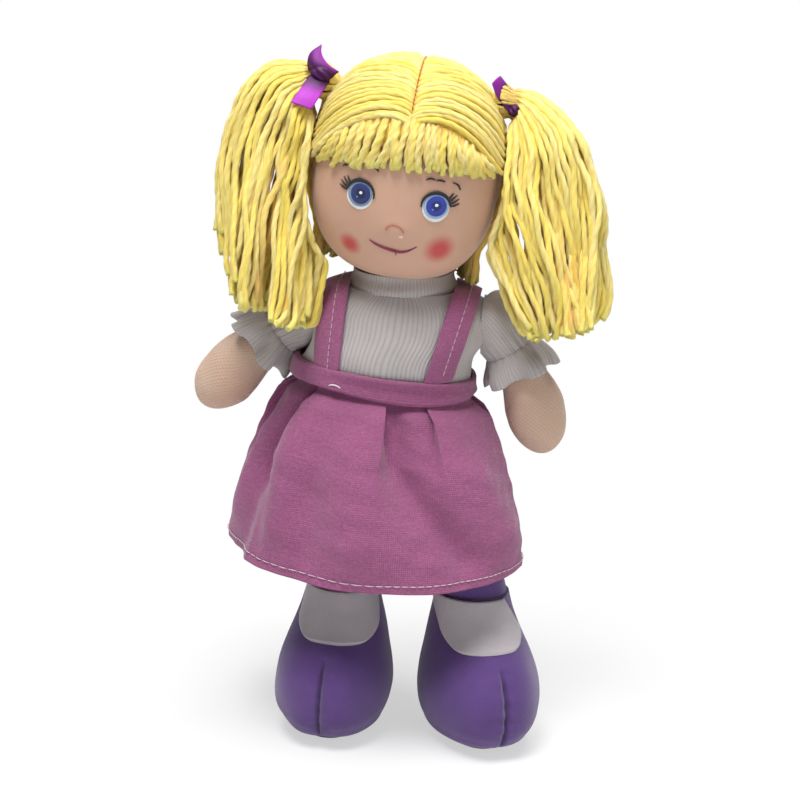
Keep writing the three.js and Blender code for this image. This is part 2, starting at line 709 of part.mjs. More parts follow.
// Ruffle: the sleeve's free edge below the elastic, flared and waved.
function makeRuffle(sideSizes) {
  const along = armPath(sideSizes);
  const start = (SLEEVE_LENGTH + SEAM_GAP) / ARM_LENGTH;
  const wallRing = (share, inset) => {
    const { place, outward } = along(start + (share * RUFFLE_LENGTH) / ARM_LENGTH);
    return Array.from({ length: RUFFLE_SIDES }, (_, i) => {
      const angle = (i / RUFFLE_SIDES) * 2 * Math.PI;
      const wave = RUFFLE_WAVE * Math.cos(RUFFLE_WAVES * angle);
      const radius = CUFF_WIDTH / 2 + share * (RUFFLE_FLARE + wave) - inset;
      return place
        .clone()
        .addScaledVector(outward, radius * Math.cos(angle))
        .addScaledVector(Y_AXIS, radius * Math.sin(angle));
    });
  };
  const shares = evenShares(RUFFLE_RINGS);
  const outside = shares.map((share) => wallRing(share, 0));
  const inside = shares.map((share) => wallRing(share, CLOTH)).reverse();
  add(`sleeve_ruffle_${sideSizes.name}`, skinOf([...outside, ...inside], true), fabric(SHIRT_WHITE));
}

// Leg: pinched flat at the hip seam, full at the thigh, level where it meets the shoe.
const hipOf = (side) => (side * HIP_SPACING) / 2;

function makeLeg({ side, name, hipToAnkle }) {
  const read = reader(LEG_SHARES);
  const ankleSeam = SHOE_HEIGHT + SEAM_GAP;
  const rings = evenShares(LIMB_RINGS).map((share) => {
    const [width, depth] = read(share);
    const centre = new THREE.Vector3(
      hipOf(side) + share * hipToAnkle,
      0,
      THREE.MathUtils.lerp(HIP_HEIGHT, ankleSeam, share),
    );
    const across = X_AXIS.clone().multiplyScalar((width * LEG_WIDTH) / 2);
    const deep = Y_AXIS.clone().multiplyScalar((depth * LEG_DEPTH) / 2);
    return ring(centre, across, deep, LIMB_POWER);
  });
  add(`leg_${name}`, cut(skinOf(rings), hipSlot()), fabric(SHOE_PURPLE));
}

// Shoe: level slices from the sole to the ankle. The toe is a full round bulb.
function shoeForm(grow = 0) {
  const read = reader(SHOE_SHARES);
  const foot = SOLE_THICKNESS + SEAM_GAP;
  const rings = evenShares(LIMB_RINGS + 2).map((share) => {
    const [width, toe, heel] = read(share);
    const front = toe * TOE_REACH + grow;
    const back = heel * HEEL_REACH + grow;
    const z = foot - grow + share * (SHOE_HEIGHT - foot + 2 * grow);
    const across = X_AXIS.clone().multiplyScalar((width * SHOE_WIDTH) / 2 + grow);
    const deep = Y_AXIS.clone().multiplyScalar((front + back) / 2);
    return ring(new THREE.Vector3(0, (back - front) / 2, z), across, deep, SHOE_POWER);
  });
  return skinOf(rings);
}

// The pale panel over the instep: a U in front view, laid on the shoe.
function instepPanel({ side, insteps }) {
  const half = INSTEP_WIDTH / 2;
  const top = SHOE_HEIGHT;
  const foot = top - INSTEP_HEIGHT;
  const outline = new THREE.Shape();
  outline.moveTo(-half, top);
  outline.lineTo(-half, foot + INSTEP_CORNER);
  outline.quadraticCurveTo(-half, foot, INSTEP_CORNER - half, foot);
  outline.lineTo(half - INSTEP_CORNER, foot);
  outline.quadraticCurveTo(half, foot, half, foot + INSTEP_CORNER);
  outline.lineTo(half, top);
  const window = forwards(outline, OVERRUN + TOE_REACH).rotateZ(side * degToRad(insteps));
  const wall = cut(shoeForm(SEAM_GAP + INSTEP_THICKNESS), shoeForm(SEAM_GAP));
  return common(wall, window);
}

function makeSole() {
  const [width, toe, heel] = SHOE_SHARES[0].slice(1);
  const across = X_AXIS.clone().multiplyScalar((width * SHOE_WIDTH) / 2);
  const deep = Y_AXIS.clone().multiplyScalar((toe * TOE_REACH + heel * HEEL_REACH) / 2);
  const y = (heel * HEEL_REACH - toe * TOE_REACH) / 2;
  const at = (z) => ring(new THREE.Vector3(0, y, z), across, deep, SHOE_POWER);
  return skinOf([at(0), at(SOLE_THICKNESS)]);
}

function makeFoot(sideSizes) {
  const { side, name, hipToAnkle, toeOut } = sideSizes;
  const foot = new THREE.Group();
  foot.position.x = hipOf(side) + hipToAnkle;
  foot.rotation.z = side * degToRad(toeOut);
  doll.add(foot);
  add(`shoe_${name}`, shoeForm(), fabric(SHOE_PURPLE), foot);
  add(`instep_${name}`, instepPanel(sideSizes), fabric(SHIRT_WHITE), foot);
  add(`sole_${name}`, makeSole(), fabric(SHOE_PURPLE), foot);
}

// Head: fuller at the cheeks than a ball, so its lower half is squarer than its crown.
function headForm(grow = 0) {
  const latitudes = evenShares(HEAD_RINGS).slice(1, -1);
  const rings = latitudes.map((share) => {
    const latitude = (share - 1 / 2) * Math.PI;
    const [reach, rise] = superPoint(latitude, latitude < 0 ? CHIN_POWER : CROWN_POWER);
    const centre = new THREE.Vector3(0, 0, rise * (HEAD_HEIGHT / 2 + grow));
    const across = X_AXIS.clone().multiplyScalar(reach * (HEAD_WIDTH / 2 + grow));
    const deep = Y_AXIS.clone().multiplyScalar(reach * (HEAD_DEPTH / 2 + grow));
    return ring(centre, across, deep, FACE_POWER, HEAD_SIDES);
  });
  return skinOf(rings);
}

const head = new THREE.Group();
head.position.set(0, -HEAD_FORWARD, NOD_HEIGHT - HEAD_DROP + HEAD_HEIGHT / 2);
head.rotation.y = HEAD_TILT;
doll.add(head);
head.updateMatrixWorld(true);
const toHead = head.matrixWorld.clone().invert();

function makeHead() {
  const socket = new THREE.SphereGeometry(NECK_BALL_RADIUS + SEAM_GAP, ROUND_SEGMENTS, HEAD_RINGS);
  socket.rotateX(Math.PI / 2).translate(0, 0, NOD_HEIGHT).applyMatrix4(toHead);
  add("head", cut(headForm(), socket), fabric(SKIN, 0.6), head);
}

// The part of the head that no hair covers, in side view, left smaller by an inset under the hairline.
function faceWindow(inset = 0) {
  const front = -HEAD_DEPTH / 2 - OVERRUN;
  const slope = (HAIRLINE_HEIGHT - TEMPLE_HEIGHT) / (HEAD_DEPTH / 2);
  const outline = [
    [front, HAIRLINE_HEIGHT + slope * OVERRUN - inset],
    [0, TEMPLE_HEIGHT - inset],
    ...HAIR_EDGE_SHARES.map(([back, down]) => [back * HEAD_DEPTH, -down * NAPE_DEPTH]),
    [HEAD_DEPTH, -HEAD_HEIGHT],
    [front, -HEAD_HEIGHT],
  ];
  return throughSide(outline, HEAD_WIDTH + 2 * OVERRUN);
}

// The yarn drawn together from the side of the head to the ribbon.
function tuft({ side, tieReach, tieHeight }) {
  const profile = [
    [0, 0],
    [TUFT_ROOT_RADIUS, 0],
    ...TUFT_SHARES.map(([wide, out]) => [wide * TUFT_ROOT_RADIUS, out * tieReach]),
    [TIE_RADIUS, tieReach - RIBBON_WIDTH - SEAM_GAP],
    [TIE_RADIUS, tieReach],
    [0, tieReach],
  ];
  const points = profile.map(([radius, reach]) => new THREE.Vector2(radius, reach));
  const cone = new THREE.LatheGeometry(points, RING_SIDES);
  return cone.rotateZ((-side * Math.PI) / 2).translate(0, 0, tieHeight);
}

function makeHairCap() {
  const whole = fused(headForm(HAIR_THICKNESS), ...SIDES.map(tuft));
  add("hair_cap", cut(whole, headForm(SEAM_GAP), faceWindow()), fabric(YARN, 0.85), head);
}

function makeParting() {
  const lift = HAIR_THICKNESS + SEAM_GAP;
  const strip = block(
    new THREE.Vector3(-STITCH_WIDTH / 2, -HEAD_DEPTH, HAIRLINE_HEIGHT),
    new THREE.Vector3(STITCH_WIDTH / 2, HEAD_DEPTH, HEAD_HEIGHT),
  );
  const wall = cut(headForm(lift + STITCH_THICKNESS), headForm(lift));
  add("parting_stitch", cut(common(wall, strip), faceWindow()), fabric(0xb0782a), head);
}

// Fringe: a curved apron of cut yarn under the hairline.
function makeFringe() {
  const front = -HEAD_DEPTH / 2 - OVERRUN;
  const [low, high] = FRINGE_END_SHARES.map((share) => -share * HEAD_DEPTH);
  const outline = [
    [front, FRINGE_TIP_HEIGHT],
    [low, FRINGE_TIP_HEIGHT],
    [high, TEMPLE_HEIGHT],
    [high, HEAD_HEIGHT],
    [front, HEAD_HEIGHT],
  ];
  const apron = throughSide(outline, HEAD_WIDTH + 2 * OVERRUN);
  const wall = cut(headForm(FRINGE_THICKNESS), headForm(SEAM_GAP));
  add("fringe", common(wall, apron, faceWindow(SEAM_GAP)), fabric(YARN, 0.85), head);
}

// Stitched features: a shape in front view, laid on the face at a thread's thickness.
function stitched(name, shape, x, z, color) {
  const wall = cut(headForm(SEAM_GAP + THREAD_THICKNESS), headForm(SEAM_GAP));
  const drawn = forwards(shape, HEAD_DEPTH).translate(x, 0, z);
  add(name, common(wall, drawn), fabric(color, 0.5), head);
}

function makeFace() {
  const eye = new THREE.Shape().absarc(0, 0, EYE_RADIUS, 0, 2 * Math.PI);
  stitched("eye_right", eye, -EYE_SPACING / 2, -EYE_DEPTH, 0x2c3fa0);
  stitched("eye_left", eye, EYE_SPACING / 2, -EYE_DEPTH, 0x2c3fa0);
  stitched("nose", arcBand(NOSE_WIDTH / 2, NOSE_RISE, THREAD_WIDTH), 0, -NOSE_DEPTH, 0xd07878);
  stitched("mouth", arcBand(MOUTH_WIDTH / 2, -MOUTH_SAG, THREAD_WIDTH), 0, -MOUTH_DEPTH, 0x8a2a50);
}

// A cut end of the ribbon, standing up (+1) or hanging down (-1) from the knot and curving away from it.
function ribbonTail(way) {
  const start = TIE_RADIUS + SEAM_GAP + RIBBON_THICKNESS;
  const edge = (lift) =>
    evenShares(TAIL_STEPS).map((share) => {
      const bow = RIBBON_TAIL * RIBBON_BOW_SHARE * Math.sin((share * Math.PI * 2) / 3);
      return new THREE.Vector2(-(start + lift + bow), way * share * RIBBON_TAIL);
    });
  const shape = new THREE.Shape([...edge(0), ...edge(RIBBON_THICKNESS).reverse()]);
  const tail = new THREE.ExtrudeGeometry(shape, { depth: RIBBON_WIDTH, bevelEnabled: false });
  const turn = new THREE.Matrix4().makeBasis(Y_AXIS, Z_AXIS, X_AXIS);
  return tail.applyMatrix4(turn).translate(-RIBBON_WIDTH / 2, 0, 0);
}

// Ribbon: one turn round the yarn, a knot on it and two cut ends, clear of the hair on the head.
function makeRibbon({ side, name, tieReach, tieHeight, ribbonTurn }) {
  const inner = TIE_RADIUS + SEAM_GAP;
  const outer = inner + RIBBON_THICKNESS;
  const band = new THREE.CylinderGeometry(outer, outer, RIBBON_GATHER, ROUND_SEGMENTS / 2);
  band.rotateZ(Math.PI / 2);
  const knot = new THREE.SphereGeometry(KNOT_RADIUS, BALL_STEPS, BALL_STEPS / 2).translate(0, -outer, 0);
  const tied = fused(band, knot, ribbonTail(1), ribbonTail(-1));
  const place = [side * (tieReach - RIBBON_WIDTH / 2), 0, tieHeight];
  tied.rotateX(side * degToRad(ribbonTurn)).translate(...place);
  const yarnRoom = new THREE.CylinderGeometry(inner, inner, OVERRUN, RING_SIDES);
  yarnRoom.rotateZ(Math.PI / 2).translate(...place);
  const headRoom = headForm(HAIR_THICKNESS + SEAM_GAP);
  add(`ribbon_${name}`, cut(tied, yarnRoom, headRoom), fabric(SATIN_PURPLE, 0.35), head);
}

// Where a pigtail swings, in the doll's frame: over the yarn's tied end.
function pigtailPivot({ side, tieReach, tieHeight }) {
  const pivot = new THREE.Vector3(side * (tieReach + SEAM_GAP), 0, tieHeight + TIE_RADIUS);
  return pivot.applyMatrix4(head.matrixWorld);
}

// The room round the tied yarn and its ribbon that a pigtail keeps clear of, in the doll's frame.
function tieRoom({ side, tieReach, tieHeight }) {
  const length = tieReach + SEAM_GAP;
  const radius = Math.hypot(RIBBON_TAIL, TUFT_ROOT_RADIUS);
  const room = new THREE.CylinderGeometry(radius, radius, length, RING_SIDES);
  room.rotateZ(Math.PI / 2).translate((side * length) / 2, 0, tieHeight);
  return room.applyMatrix4(head.matrixWorld);
}

// Pigtail: a bunch of yarn between an outer and an inner edge, from the tie down to its cut ends.
function makePigtail(sideSizes) {
  const { side, name, pigtailSpread, pigtailDrop, outerShares, innerShares } = sideSizes;
  const edge = (shares) =>
    new THREE.CatmullRomCurve3(
      shares.map(([out, up]) => new THREE.Vector3(side * out * pigtailSpread, 0, up * pigtailDrop)),
    );
  const outer = edge(outerShares);
  const inner = edge(innerShares);
  const rings = evenShares(PIGTAIL_RINGS).map((share) => {
    const far = outer.getPoint(share);
    const near = inner.getPoint(share);
    const centre = far.clone().add(near).multiplyScalar(1 / 2);
    centre.y = -PIGTAIL_FORWARD * share;
    const across = far.sub(near).multiplyScalar(1 / 2);
    const fullness = Math.sin(THREE.MathUtils.lerp(...FULLNESS_SHARES, share) * Math.PI);
    const opened = Math.min(share / OPENED_SHARE, 1) * fullness;
    const halfDepth = THREE.MathUtils.lerp(TIE_RADIUS, PIGTAIL_DEPTH / 2, opened);
    return ring(centre, across, Y_AXIS.clone().multiplyScalar(halfDepth), LIMB_POWER);
  });
  const pivot = pigtailPivot(sideSizes);
  const bunch = skinOf(rings).translate(pivot.x, pivot.y, pivot.z);
  const headRoom = headForm(HAIR_THICKNESS + SEAM_GAP).applyMatrix4(head.matrixWorld);
  const rooms = [headRoom, tieRoom(sideSizes), sleeveForm(sideSizes, SEAM_GAP)];
  add(`pigtail_${name}`, cut(bunch, ...rooms), fabric(YARN, 0.85));
}

makeTorso();
makeShirt();
makeCollar();
makeNeck();
makeWaistband();
makeSkirt();
makeHead();
makeHairCap();
makeParting();
makeFringe();
makeFace();
for (const sideSizes of SIDES) {
  makeStrap(sideSizes);
  makeSleeve(sideSizes);
  makeRuffle(sideSizes);
  makeArm(sideSizes);
  makeLeg(sideSizes);
  makeFoot(sideSizes);
  makeRibbon(sideSizes);
  makePigtail(sideSizes);
}

// The origin goes to the middle of the doll's plan, on the floor.
const extent = new THREE.Box3().setFromObject(doll, true);
const middle = extent.getCenter(new THREE.Vector3());
doll.position.set(-middle.x, -middle.y, -extent.min.z);

export default doll;
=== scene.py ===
"""Looks of a standing cloth doll: satin head with yarn hair, rib-knit shirt, linen pinafore, knit arms, cloth shoes.

Lengths in the classes are millimetres in the doll's own frame: +Z up, the face towards -Y, the neck's axis at
x = y = 0. A mesh is worked out there as arrays and to_frame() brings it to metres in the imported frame.
"""

from __future__ import annotations

import logging
from collections.abc import Callable
from dataclasses import dataclass, field, replace
from enum import Enum

import bpy
import numpy as np
from mathutils import Matrix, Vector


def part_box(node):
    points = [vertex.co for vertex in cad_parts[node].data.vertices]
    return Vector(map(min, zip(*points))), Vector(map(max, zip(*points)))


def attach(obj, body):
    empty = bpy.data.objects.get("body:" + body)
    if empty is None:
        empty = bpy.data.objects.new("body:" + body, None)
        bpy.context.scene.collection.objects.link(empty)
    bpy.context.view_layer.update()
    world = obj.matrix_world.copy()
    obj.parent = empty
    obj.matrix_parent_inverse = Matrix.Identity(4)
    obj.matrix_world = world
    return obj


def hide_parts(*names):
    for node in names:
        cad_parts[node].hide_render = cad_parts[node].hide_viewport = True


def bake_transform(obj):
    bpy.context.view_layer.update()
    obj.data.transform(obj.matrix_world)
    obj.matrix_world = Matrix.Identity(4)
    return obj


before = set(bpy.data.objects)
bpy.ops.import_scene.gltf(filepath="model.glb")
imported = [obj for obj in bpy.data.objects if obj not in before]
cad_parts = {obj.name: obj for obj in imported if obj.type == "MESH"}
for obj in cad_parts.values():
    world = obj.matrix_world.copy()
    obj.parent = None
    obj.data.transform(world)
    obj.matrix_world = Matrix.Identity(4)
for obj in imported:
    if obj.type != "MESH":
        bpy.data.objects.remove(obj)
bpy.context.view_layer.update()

Array = np.ndarray
Material, Socket, Piece = bpy.types.Material, bpy.types.NodeSocket, bpy.types.Object
LOG = logging.getLogger("cloth_doll")
MM = 0.001
GOLDEN_ANGLE = np.pi * (3 - np.sqrt(5))
UP, BACKWARDS = np.array([0, 0, 1.0]), np.array([0, 1.0, 0])
VIEW_AZIMUTH = 4.0

# Lengths that several pieces share, in millimetres, as the solids have them
SEAM_GAP = 0.3
CLOTH = 1.7
LINEN = 2.0
# Outwards from the torso to what lies on the shirt
ON_SHIRT = 2 * SEAM_GAP + CLOTH
HIP_HEIGHT = 173.0
TORSO_LENGTH = 78.0
NECK_SEAT = HIP_HEIGHT + TORSO_LENGTH
HEAD_TILT = np.radians(6)
HEAD_MIDDLE = np.array([0.0, -11.0, 316.0])
WAIST_SHIFT = 7.3
WAIST_HEIGHT = 31.0
WAIST_TILT = np.radians(4.8)
SHOULDER_HALF_WIDTH = 45.4
SHOULDER_HEIGHT = NECK_SEAT - 15.0
ARM_LENGTH = 85.0
SLEEVE_LENGTH = 24.0


class Side(Enum):
    """The doll's own right (-X) or left (+X)."""

    RIGHT = -1
    LEFT = 1

    @property
    def word(self) -> str:
        """The side's word in the names of nodes and bodies."""
        return self.name.lower()


@dataclass(frozen=True)
class SideSizes:
    """What differs between the doll's two sides: lengths in millimetres, angles in degrees."""

    side: Side
    shoulder_rise: float
    arm_headings: tuple[float, float]
    hip_to_ankle: float
    toe_out: float
    instep_middles: tuple[float, float]
    tie_reach: float
    tie_height: float
    pigtail_spread: float
    pigtail_drop: float
    outer_edge: tuple[tuple[float, float], ...]
    inner_edge: tuple[tuple[float, float], ...]


RIGHT_SIZES = SideSizes(
    side=Side.RIGHT, shoulder_rise=0, arm_headings=(60, 32), hip_to_ankle=-4, toe_out=6, instep_middles=(-0.9, -2.4),
    tie_reach=58, tie_height=38, pigtail_spread=47.5, pigtail_drop=134.5,
    outer_edge=((0, 0), (0.15, 0.01), (0.49, -0.01), (0.8, -0.17), (0.96, -0.39), (1, -0.62), (0.95, -0.78),
                (0.79, -0.89)),
    inner_edge=((0, -0.11), (-0.04, -0.18), (-0.17, -0.26), (-0.24, -0.38), (-0.25, -0.53), (-0.24, -0.72),
                (-0.2, -0.97), (-0.03, -1)),
)
LEFT_SIZES = SideSizes(
    side=Side.LEFT, shoulder_rise=4, arm_headings=(40, 10), hip_to_ankle=27, toe_out=26, instep_middles=(-2.9, 9.3),
    tie_reach=50, tie_height=43, pigtail_spread=57.5, pigtail_drop=127.5,
    outer_edge=((0, 0), (0.2, -0.02), (0.5, -0.12), (0.67, -0.24), (0.82, -0.42), (0.89, -0.64), (1, -0.87),
                (0.87, -0.93)),
    inner_edge=((0, -0.11), (-0.05, -0.16), (-0.09, -0.26), (-0.1, -0.43), (-0.08, -0.59), (0, -0.81),
                (0.08, -0.98), (0.25, -1)),
)
BOTH_SIDES = (RIGHT_SIZES, LEFT_SIZES)


# Arrays


def joined(*parts: Array | float) -> Array:
    """Arrays brought to one shape and put side by side along a new last axis: x, y and z become points."""
    return np.stack(np.broadcast_arrays(*parts), -1)


def shares(count: int) -> Array:
    """Even shares from 0 to 1."""
    return np.linspace(0, 1, count)


def round_angles(count: int) -> Array:
    """Even angles once round, from 0."""
    return np.arange(count) / count * 2 * np.pi


def circle(count: int) -> Array:
    """Even points round a circle of radius 1, (count, 2)."""
    return joined(np.cos(round_angles(count)), np.sin(round_angles(count)))


def on_circle(radius: Array | float, angle: Array, z: Array | float) -> Array:
    """Points at an angle round Z."""
    return joined(radius * np.cos(angle), radius * np.sin(angle), z)


def to_frame(points: Array) -> Array:
    """Brings the doll's own frame, in millimetres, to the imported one, in metres, whose axis the neck's box gives.

    Args:
        points: In the doll's frame.

    Returns:
        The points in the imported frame.
    """
    low, high = (np.array(corner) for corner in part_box("neck"))
    shift = (low + high) / 2 * np.array([1.0, 1.0, 0.0])
    return np.asarray(points, float) * MM + shift


def from_head(points: Array) -> Array:
    """Brings the tilted head's frame to the doll's: a turn about Y by the tilt, then the head's place.

    Args:
        points: In the head's frame.

    Returns:
        Points in the doll's frame.
    """
    c, s = np.cos(HEAD_TILT), np.sin(HEAD_TILT)
    x, y, z = np.moveaxis(np.asarray(points, float), -1, 0)
    return joined(x * c + z * s, y, z * c - x * s) + HEAD_MIDDLE


def off_head(points: Array) -> Array:
    """Directions in the doll's frame from the head's middle to points of the head's frame."""
    return from_head(unit(points)) - HEAD_MIDDLE


def unit(vectors: Array) -> Array:
    """Each vector divided by its own length."""
    return vectors / np.maximum(np.linalg.norm(vectors, axis=-1, keepdims=True), 1e-9)


def mix(a: Array, b: Array, share: Array) -> Array:
    """a plus the share of the way from a to b."""
    return a + (b - a) * share


def ease(low: float, high: float, value: Array) -> Array:
    """0 below low, 1 above high and 3t^2 - 2t^3 between them, t being the share of the way."""
    t = np.clip((np.asarray(value, float) - low) / (high - low), 0, 1)
    return t * t * (3 - 2 * t)


def hump(value: Array, middle: float, width: float) -> Array:
    """A bell: e to the power of minus the square of (value - middle) / width."""
    away = (value - middle) / width
    return np.exp(-away * away)


def nearest_turn(turn: Array) -> Array:
    """A share of a turn, counted from -0.5 to 0.5."""
    return (turn + 0.5) % 1 - 0.5


def superellipse(angle: Array, power: float) -> tuple[Array, Array]:
    """Cosine and sine of the angle, each raised to 2 / power with its sign kept: 2 is a circle, more is squarer."""
    c, s = np.cos(angle), np.sin(angle)
    return np.sign(c) * np.abs(c) ** (2 / power), np.sign(s) * np.abs(s) ** (2 / power)


def hermite(start: Array, end: Array, start_slope: Array, end_slope: Array, t: Array) -> Array:
    """The cubic from start to end with these slopes, at a share t of the way."""
    first = start * (2 * t**3 - 3 * t**2 + 1) + start_slope * (t**3 - 2 * t**2 + t)
    return first + end * (3 * t**2 - 2 * t**3) + end_slope * (t**3 - t**2)


def read_table(rows: tuple[tuple[float, ...], ...], share: Array) -> Array:
    """Reads a table smoothly: Hermite cubics, with slopes from the rows either side.

    Args:
        rows: Each a place followed by its values, in order of place.
        share: The places to read, of any shape.

    Returns:
        The values there, along a new last axis.
    """
    table = np.asarray(rows, float)
    places, values = table[:, 0], table[:, 1:]
    slopes = np.gradient(values, places, axis=0)
    share = np.asarray(share, float)
    low = np.clip(np.searchsorted(places, share, side="right") - 1, 0, len(places) - 2)
    width = (places[low + 1] - places[low])[..., None]
    t = (share[..., None] - places[low][..., None]) / width
    return hermite(values[low], values[low + 1], slopes[low] * width, slopes[low + 1] * width, t)


def through(control: Array, steps: int) -> Array:
    """Smooth lines through evenly timed points: Hermite cubics with central slopes.

    Args:
        control: (..., points, 3).
        steps: Points wanted on each line.

    Returns:
        (..., steps, 3).
    """
    control = np.asarray(control, float)
    count = control.shape[-2]
    place = np.linspace(0, count - 1, steps)
    low = np.minimum(place.astype(int), count - 2)
    slopes = np.gradient(control, axis=-2)
    ends = (array[..., low + k, :] for array in (control, slopes) for k in (0, 1))
    return hermite(*ends, (place - low)[:, None])


def ripples(points: Array, wavelength: float, seed: int, waves: int = 7) -> Array:
    """Soft unevenness between about -1 and 1: the mean of plane sine waves in seeded directions.

    Args:
        points: The places.
        wavelength: Mean length of the waves.
        seed: Of their directions.
        waves: How many are added up.

    Returns:
        One number for each place.
    """
    rng = np.random.default_rng(seed)
    ways = unit(rng.normal(size=(waves, 3))) * (2 * np.pi / wavelength) * rng.uniform(0.7, 1.4, (waves, 1))
    phases = rng.uniform(0, 2 * np.pi, waves)
    return np.sin(points @ ways.T + phases).mean(-1) * 1.8


def turned(points: Array, degrees: float) -> Array:
    """Points turned about Z by an angle, anticlockwise from above.

    Args:
        points: The points.
        degrees: The angle.

    Returns:
        The turned points.
    """
    c, s = np.cos(np.radians(degrees)), np.sin(np.radians(degrees))
    x, y, z = np.moveaxis(points, -1, 0)
    return joined(x * c - y * s, x * s + y * c, z)


def oval_rings(middle: Array, across: Array, half_across: Array, half_deep: Array) -> Array:
    """Rings of points about middles, (rows, 1 or columns, 3), reaching so far across, (rows, 3), and along +Y."""
    return middle + across[:, None] * half_across[..., None] + BACKWARDS * half_deep[..., None]


# Meshes


@dataclass
class Patch:
    """One or many grids of points of one size.

    Attributes:
        points: (rows, columns, 3) or (copies, rows, columns, 3), in the doll's frame.
        wraps: The last column meets the first.
        sealed: Fans close the first and last rows.
        pattern: (copies, rows, columns + wraps, 2) places in the cloth's pattern, in metres or turns.
        values: Named numbers, broadcast to (copies, rows, columns).
        colour: Of the whole patch.
    """

    points: Array
    wraps: bool = True
    sealed: bool = False
    pattern: Array | None = None
    values: dict[str, Array | float] = field(default_factory=dict)
    colour: tuple[float, float, float] | None = None

    def __post_init__(self) -> None:
        """Counts one grid as one copy, and measures the pattern if none is given."""
        self.points = self.points.reshape((-1,) + self.points.shape[-3:])
        if self.pattern is None:
            self.pattern = self.measured_pattern()

    def measured_pattern(self) -> Array:
        """A pattern laid on the grids at its real size: mean distance round by mean distance down, in metres.

        Returns:
            (copies, rows, columns + wraps, 2).
        """
        closed = np.concatenate([self.points, self.points[..., :1, :]], -2) if self.wraps else self.points
        across = np.linalg.norm(np.diff(closed, axis=-2), axis=-1).mean((0, 1))
        down = np.linalg.norm(np.diff(closed, axis=-3), axis=-1).mean(-1)
        u = np.concatenate([[0], np.cumsum(across)]) * MM
        v = np.pad(np.cumsum(down, -1), ((0, 0), (1, 0))) * MM
        return joined(u[None, :], v[..., None])

    def listed(self, grid: Array) -> Array:
        """Grids as lists of points, (copies, points, ...), with the mean of each sealed end's row after them."""
        flat = grid.reshape((len(grid), -1) + grid.shape[3:])
        return np.concatenate([flat, grid[:, [0, -1]].mean(2)], 1) if self.sealed else flat

    def laid_out(self, start: int) -> tuple[Array, Array, Array, Array, Array]:
        """Lists the patch for a mesh, with a fan over each sealed end.

        The faces are turned round if the signed volume, the sum of a . (b x c) over the triangles, is below zero,
        or if an open patch's faces look towards its middle.

        Args:
            start: The first point's number.

        Returns:
            Points, four-sided faces, three-sided faces, and the pattern's places at the corners of each.
        """
        copies, rows, columns = self.points.shape[:3]
        width = columns + int(self.wraps)
        row, column = np.arange(rows - 1)[:, None], np.arange(width - 1)[None, :]
        beside = (column + 1) % columns
        quads, places = (joined(row * wide + column, row * wide + then, (row + 1) * wide + then,
                                (row + 1) * wide + column).reshape(-1, 4)
                         for wide, then in ((columns, beside), (width, column + 1)))
        uv = np.broadcast_to(self.pattern, (copies, rows, width, 2))
        quad_uv = uv.reshape(copies, -1, 2)[:, places]
        tris, tri_uv = np.zeros((0, 3), int), np.zeros((copies, 0, 3, 2))
        flat = self.listed(self.points)
        if self.sealed:
            column, beside, last, end = column[0], beside[0], (rows - 1) * columns, rows * columns
            tris = np.concatenate([joined(beside, column, end), joined(last + column, last + beside, end + 1)])
            tri_uv = uv[:, :, :columns].reshape(copies, -1, 2)[:, np.minimum(tris, end - 1)]
        a, b, c, d = (flat[0][quads[:, k]] - flat[0].mean(0) for k in range(4))
        if self.sealed:
            volume = (a * (np.cross(b, c) + np.cross(c, d))).sum()
        else:
            volume = ((a + c) * np.cross(c - a, d - b)).sum()
        way = -1 if volume < 0 else 1
        number = start + np.arange(copies)[:, None, None] * flat.shape[1]
        return (flat.reshape(-1, 3), (number + quads)[..., ::way].reshape(-1, 4),
                (number + tris)[..., ::way].reshape(-1, 3),
                quad_uv[..., ::way, :].reshape(-1, 2), tri_uv[..., ::way, :].reshape(-1, 2))


def mesh_piece(name: str, patches: list[Patch], material: Material) -> Piece:
    """Puts patches into one mesh object at the origin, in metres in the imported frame.

    Args:
        name: The piece's name.
        patches: The grids in it.
        material: Its finish.

    Returns:
        The piece.
    """
    laid: list[tuple[Array, ...]] = []
    for patch in patches:
        laid.append(patch.laid_out(sum(len(parts[0]) for parts in laid)))
    points, quads, tris, quad_uv, tri_uv = (np.concatenate(part) for part in zip(*laid))
    mesh = bpy.data.meshes.new(name)
    mesh.vertices.add(len(points))
    mesh.vertices.foreach_set("co", to_frame(points).astype(np.float32).ravel())
    mesh.loops.add(quads.size + tris.size)
    mesh.loops.foreach_set("vertex_index", np.concatenate([quads.ravel(), tris.ravel()]).astype(np.int32))
    mesh.polygons.add(len(quads) + len(tris))
    starts = np.concatenate([np.arange(len(quads)) * 4, quads.size + np.arange(len(tris)) * 3])
    mesh.polygons.foreach_set("loop_start", starts.astype(np.int32))
    mesh.polygons.foreach_set("use_smooth", np.ones(len(starts), bool))
    layer = mesh.uv_layers.new(name="pattern")
    layer.data.foreach_set("uv", np.concatenate([quad_uv, tri_uv]).astype(np.float32).ravel())
    mesh.update(calc_edges=True)
    mesh.validate()
    for key in dict.fromkeys(key for patch in patches for key in patch.values):
        held = [patch.listed(np.broadcast_to(patch.values.get(key, 0.0), patch.points.shape[:-1])).ravel()
                for patch in patches]
        layer = mesh.attributes.new(key, "FLOAT", "POINT")
        layer.data.foreach_set("value", np.concatenate(held).astype(np.float32))
    if patches[0].colour is not None:
        colours = [np.tile([*patch.colour, 1.0], len(parts[0])) for patch, parts in zip(patches, laid)]
        layer = mesh.attributes.new("thread", "FLOAT_COLOR", "POINT")
        layer.data.foreach_set("color", np.concatenate(colours).astype(np.float32))
    mesh.materials.append(material)
    piece = bpy.data.objects.new(name, mesh)
    bpy.context.scene.collection.objects.link(piece)
    return piece


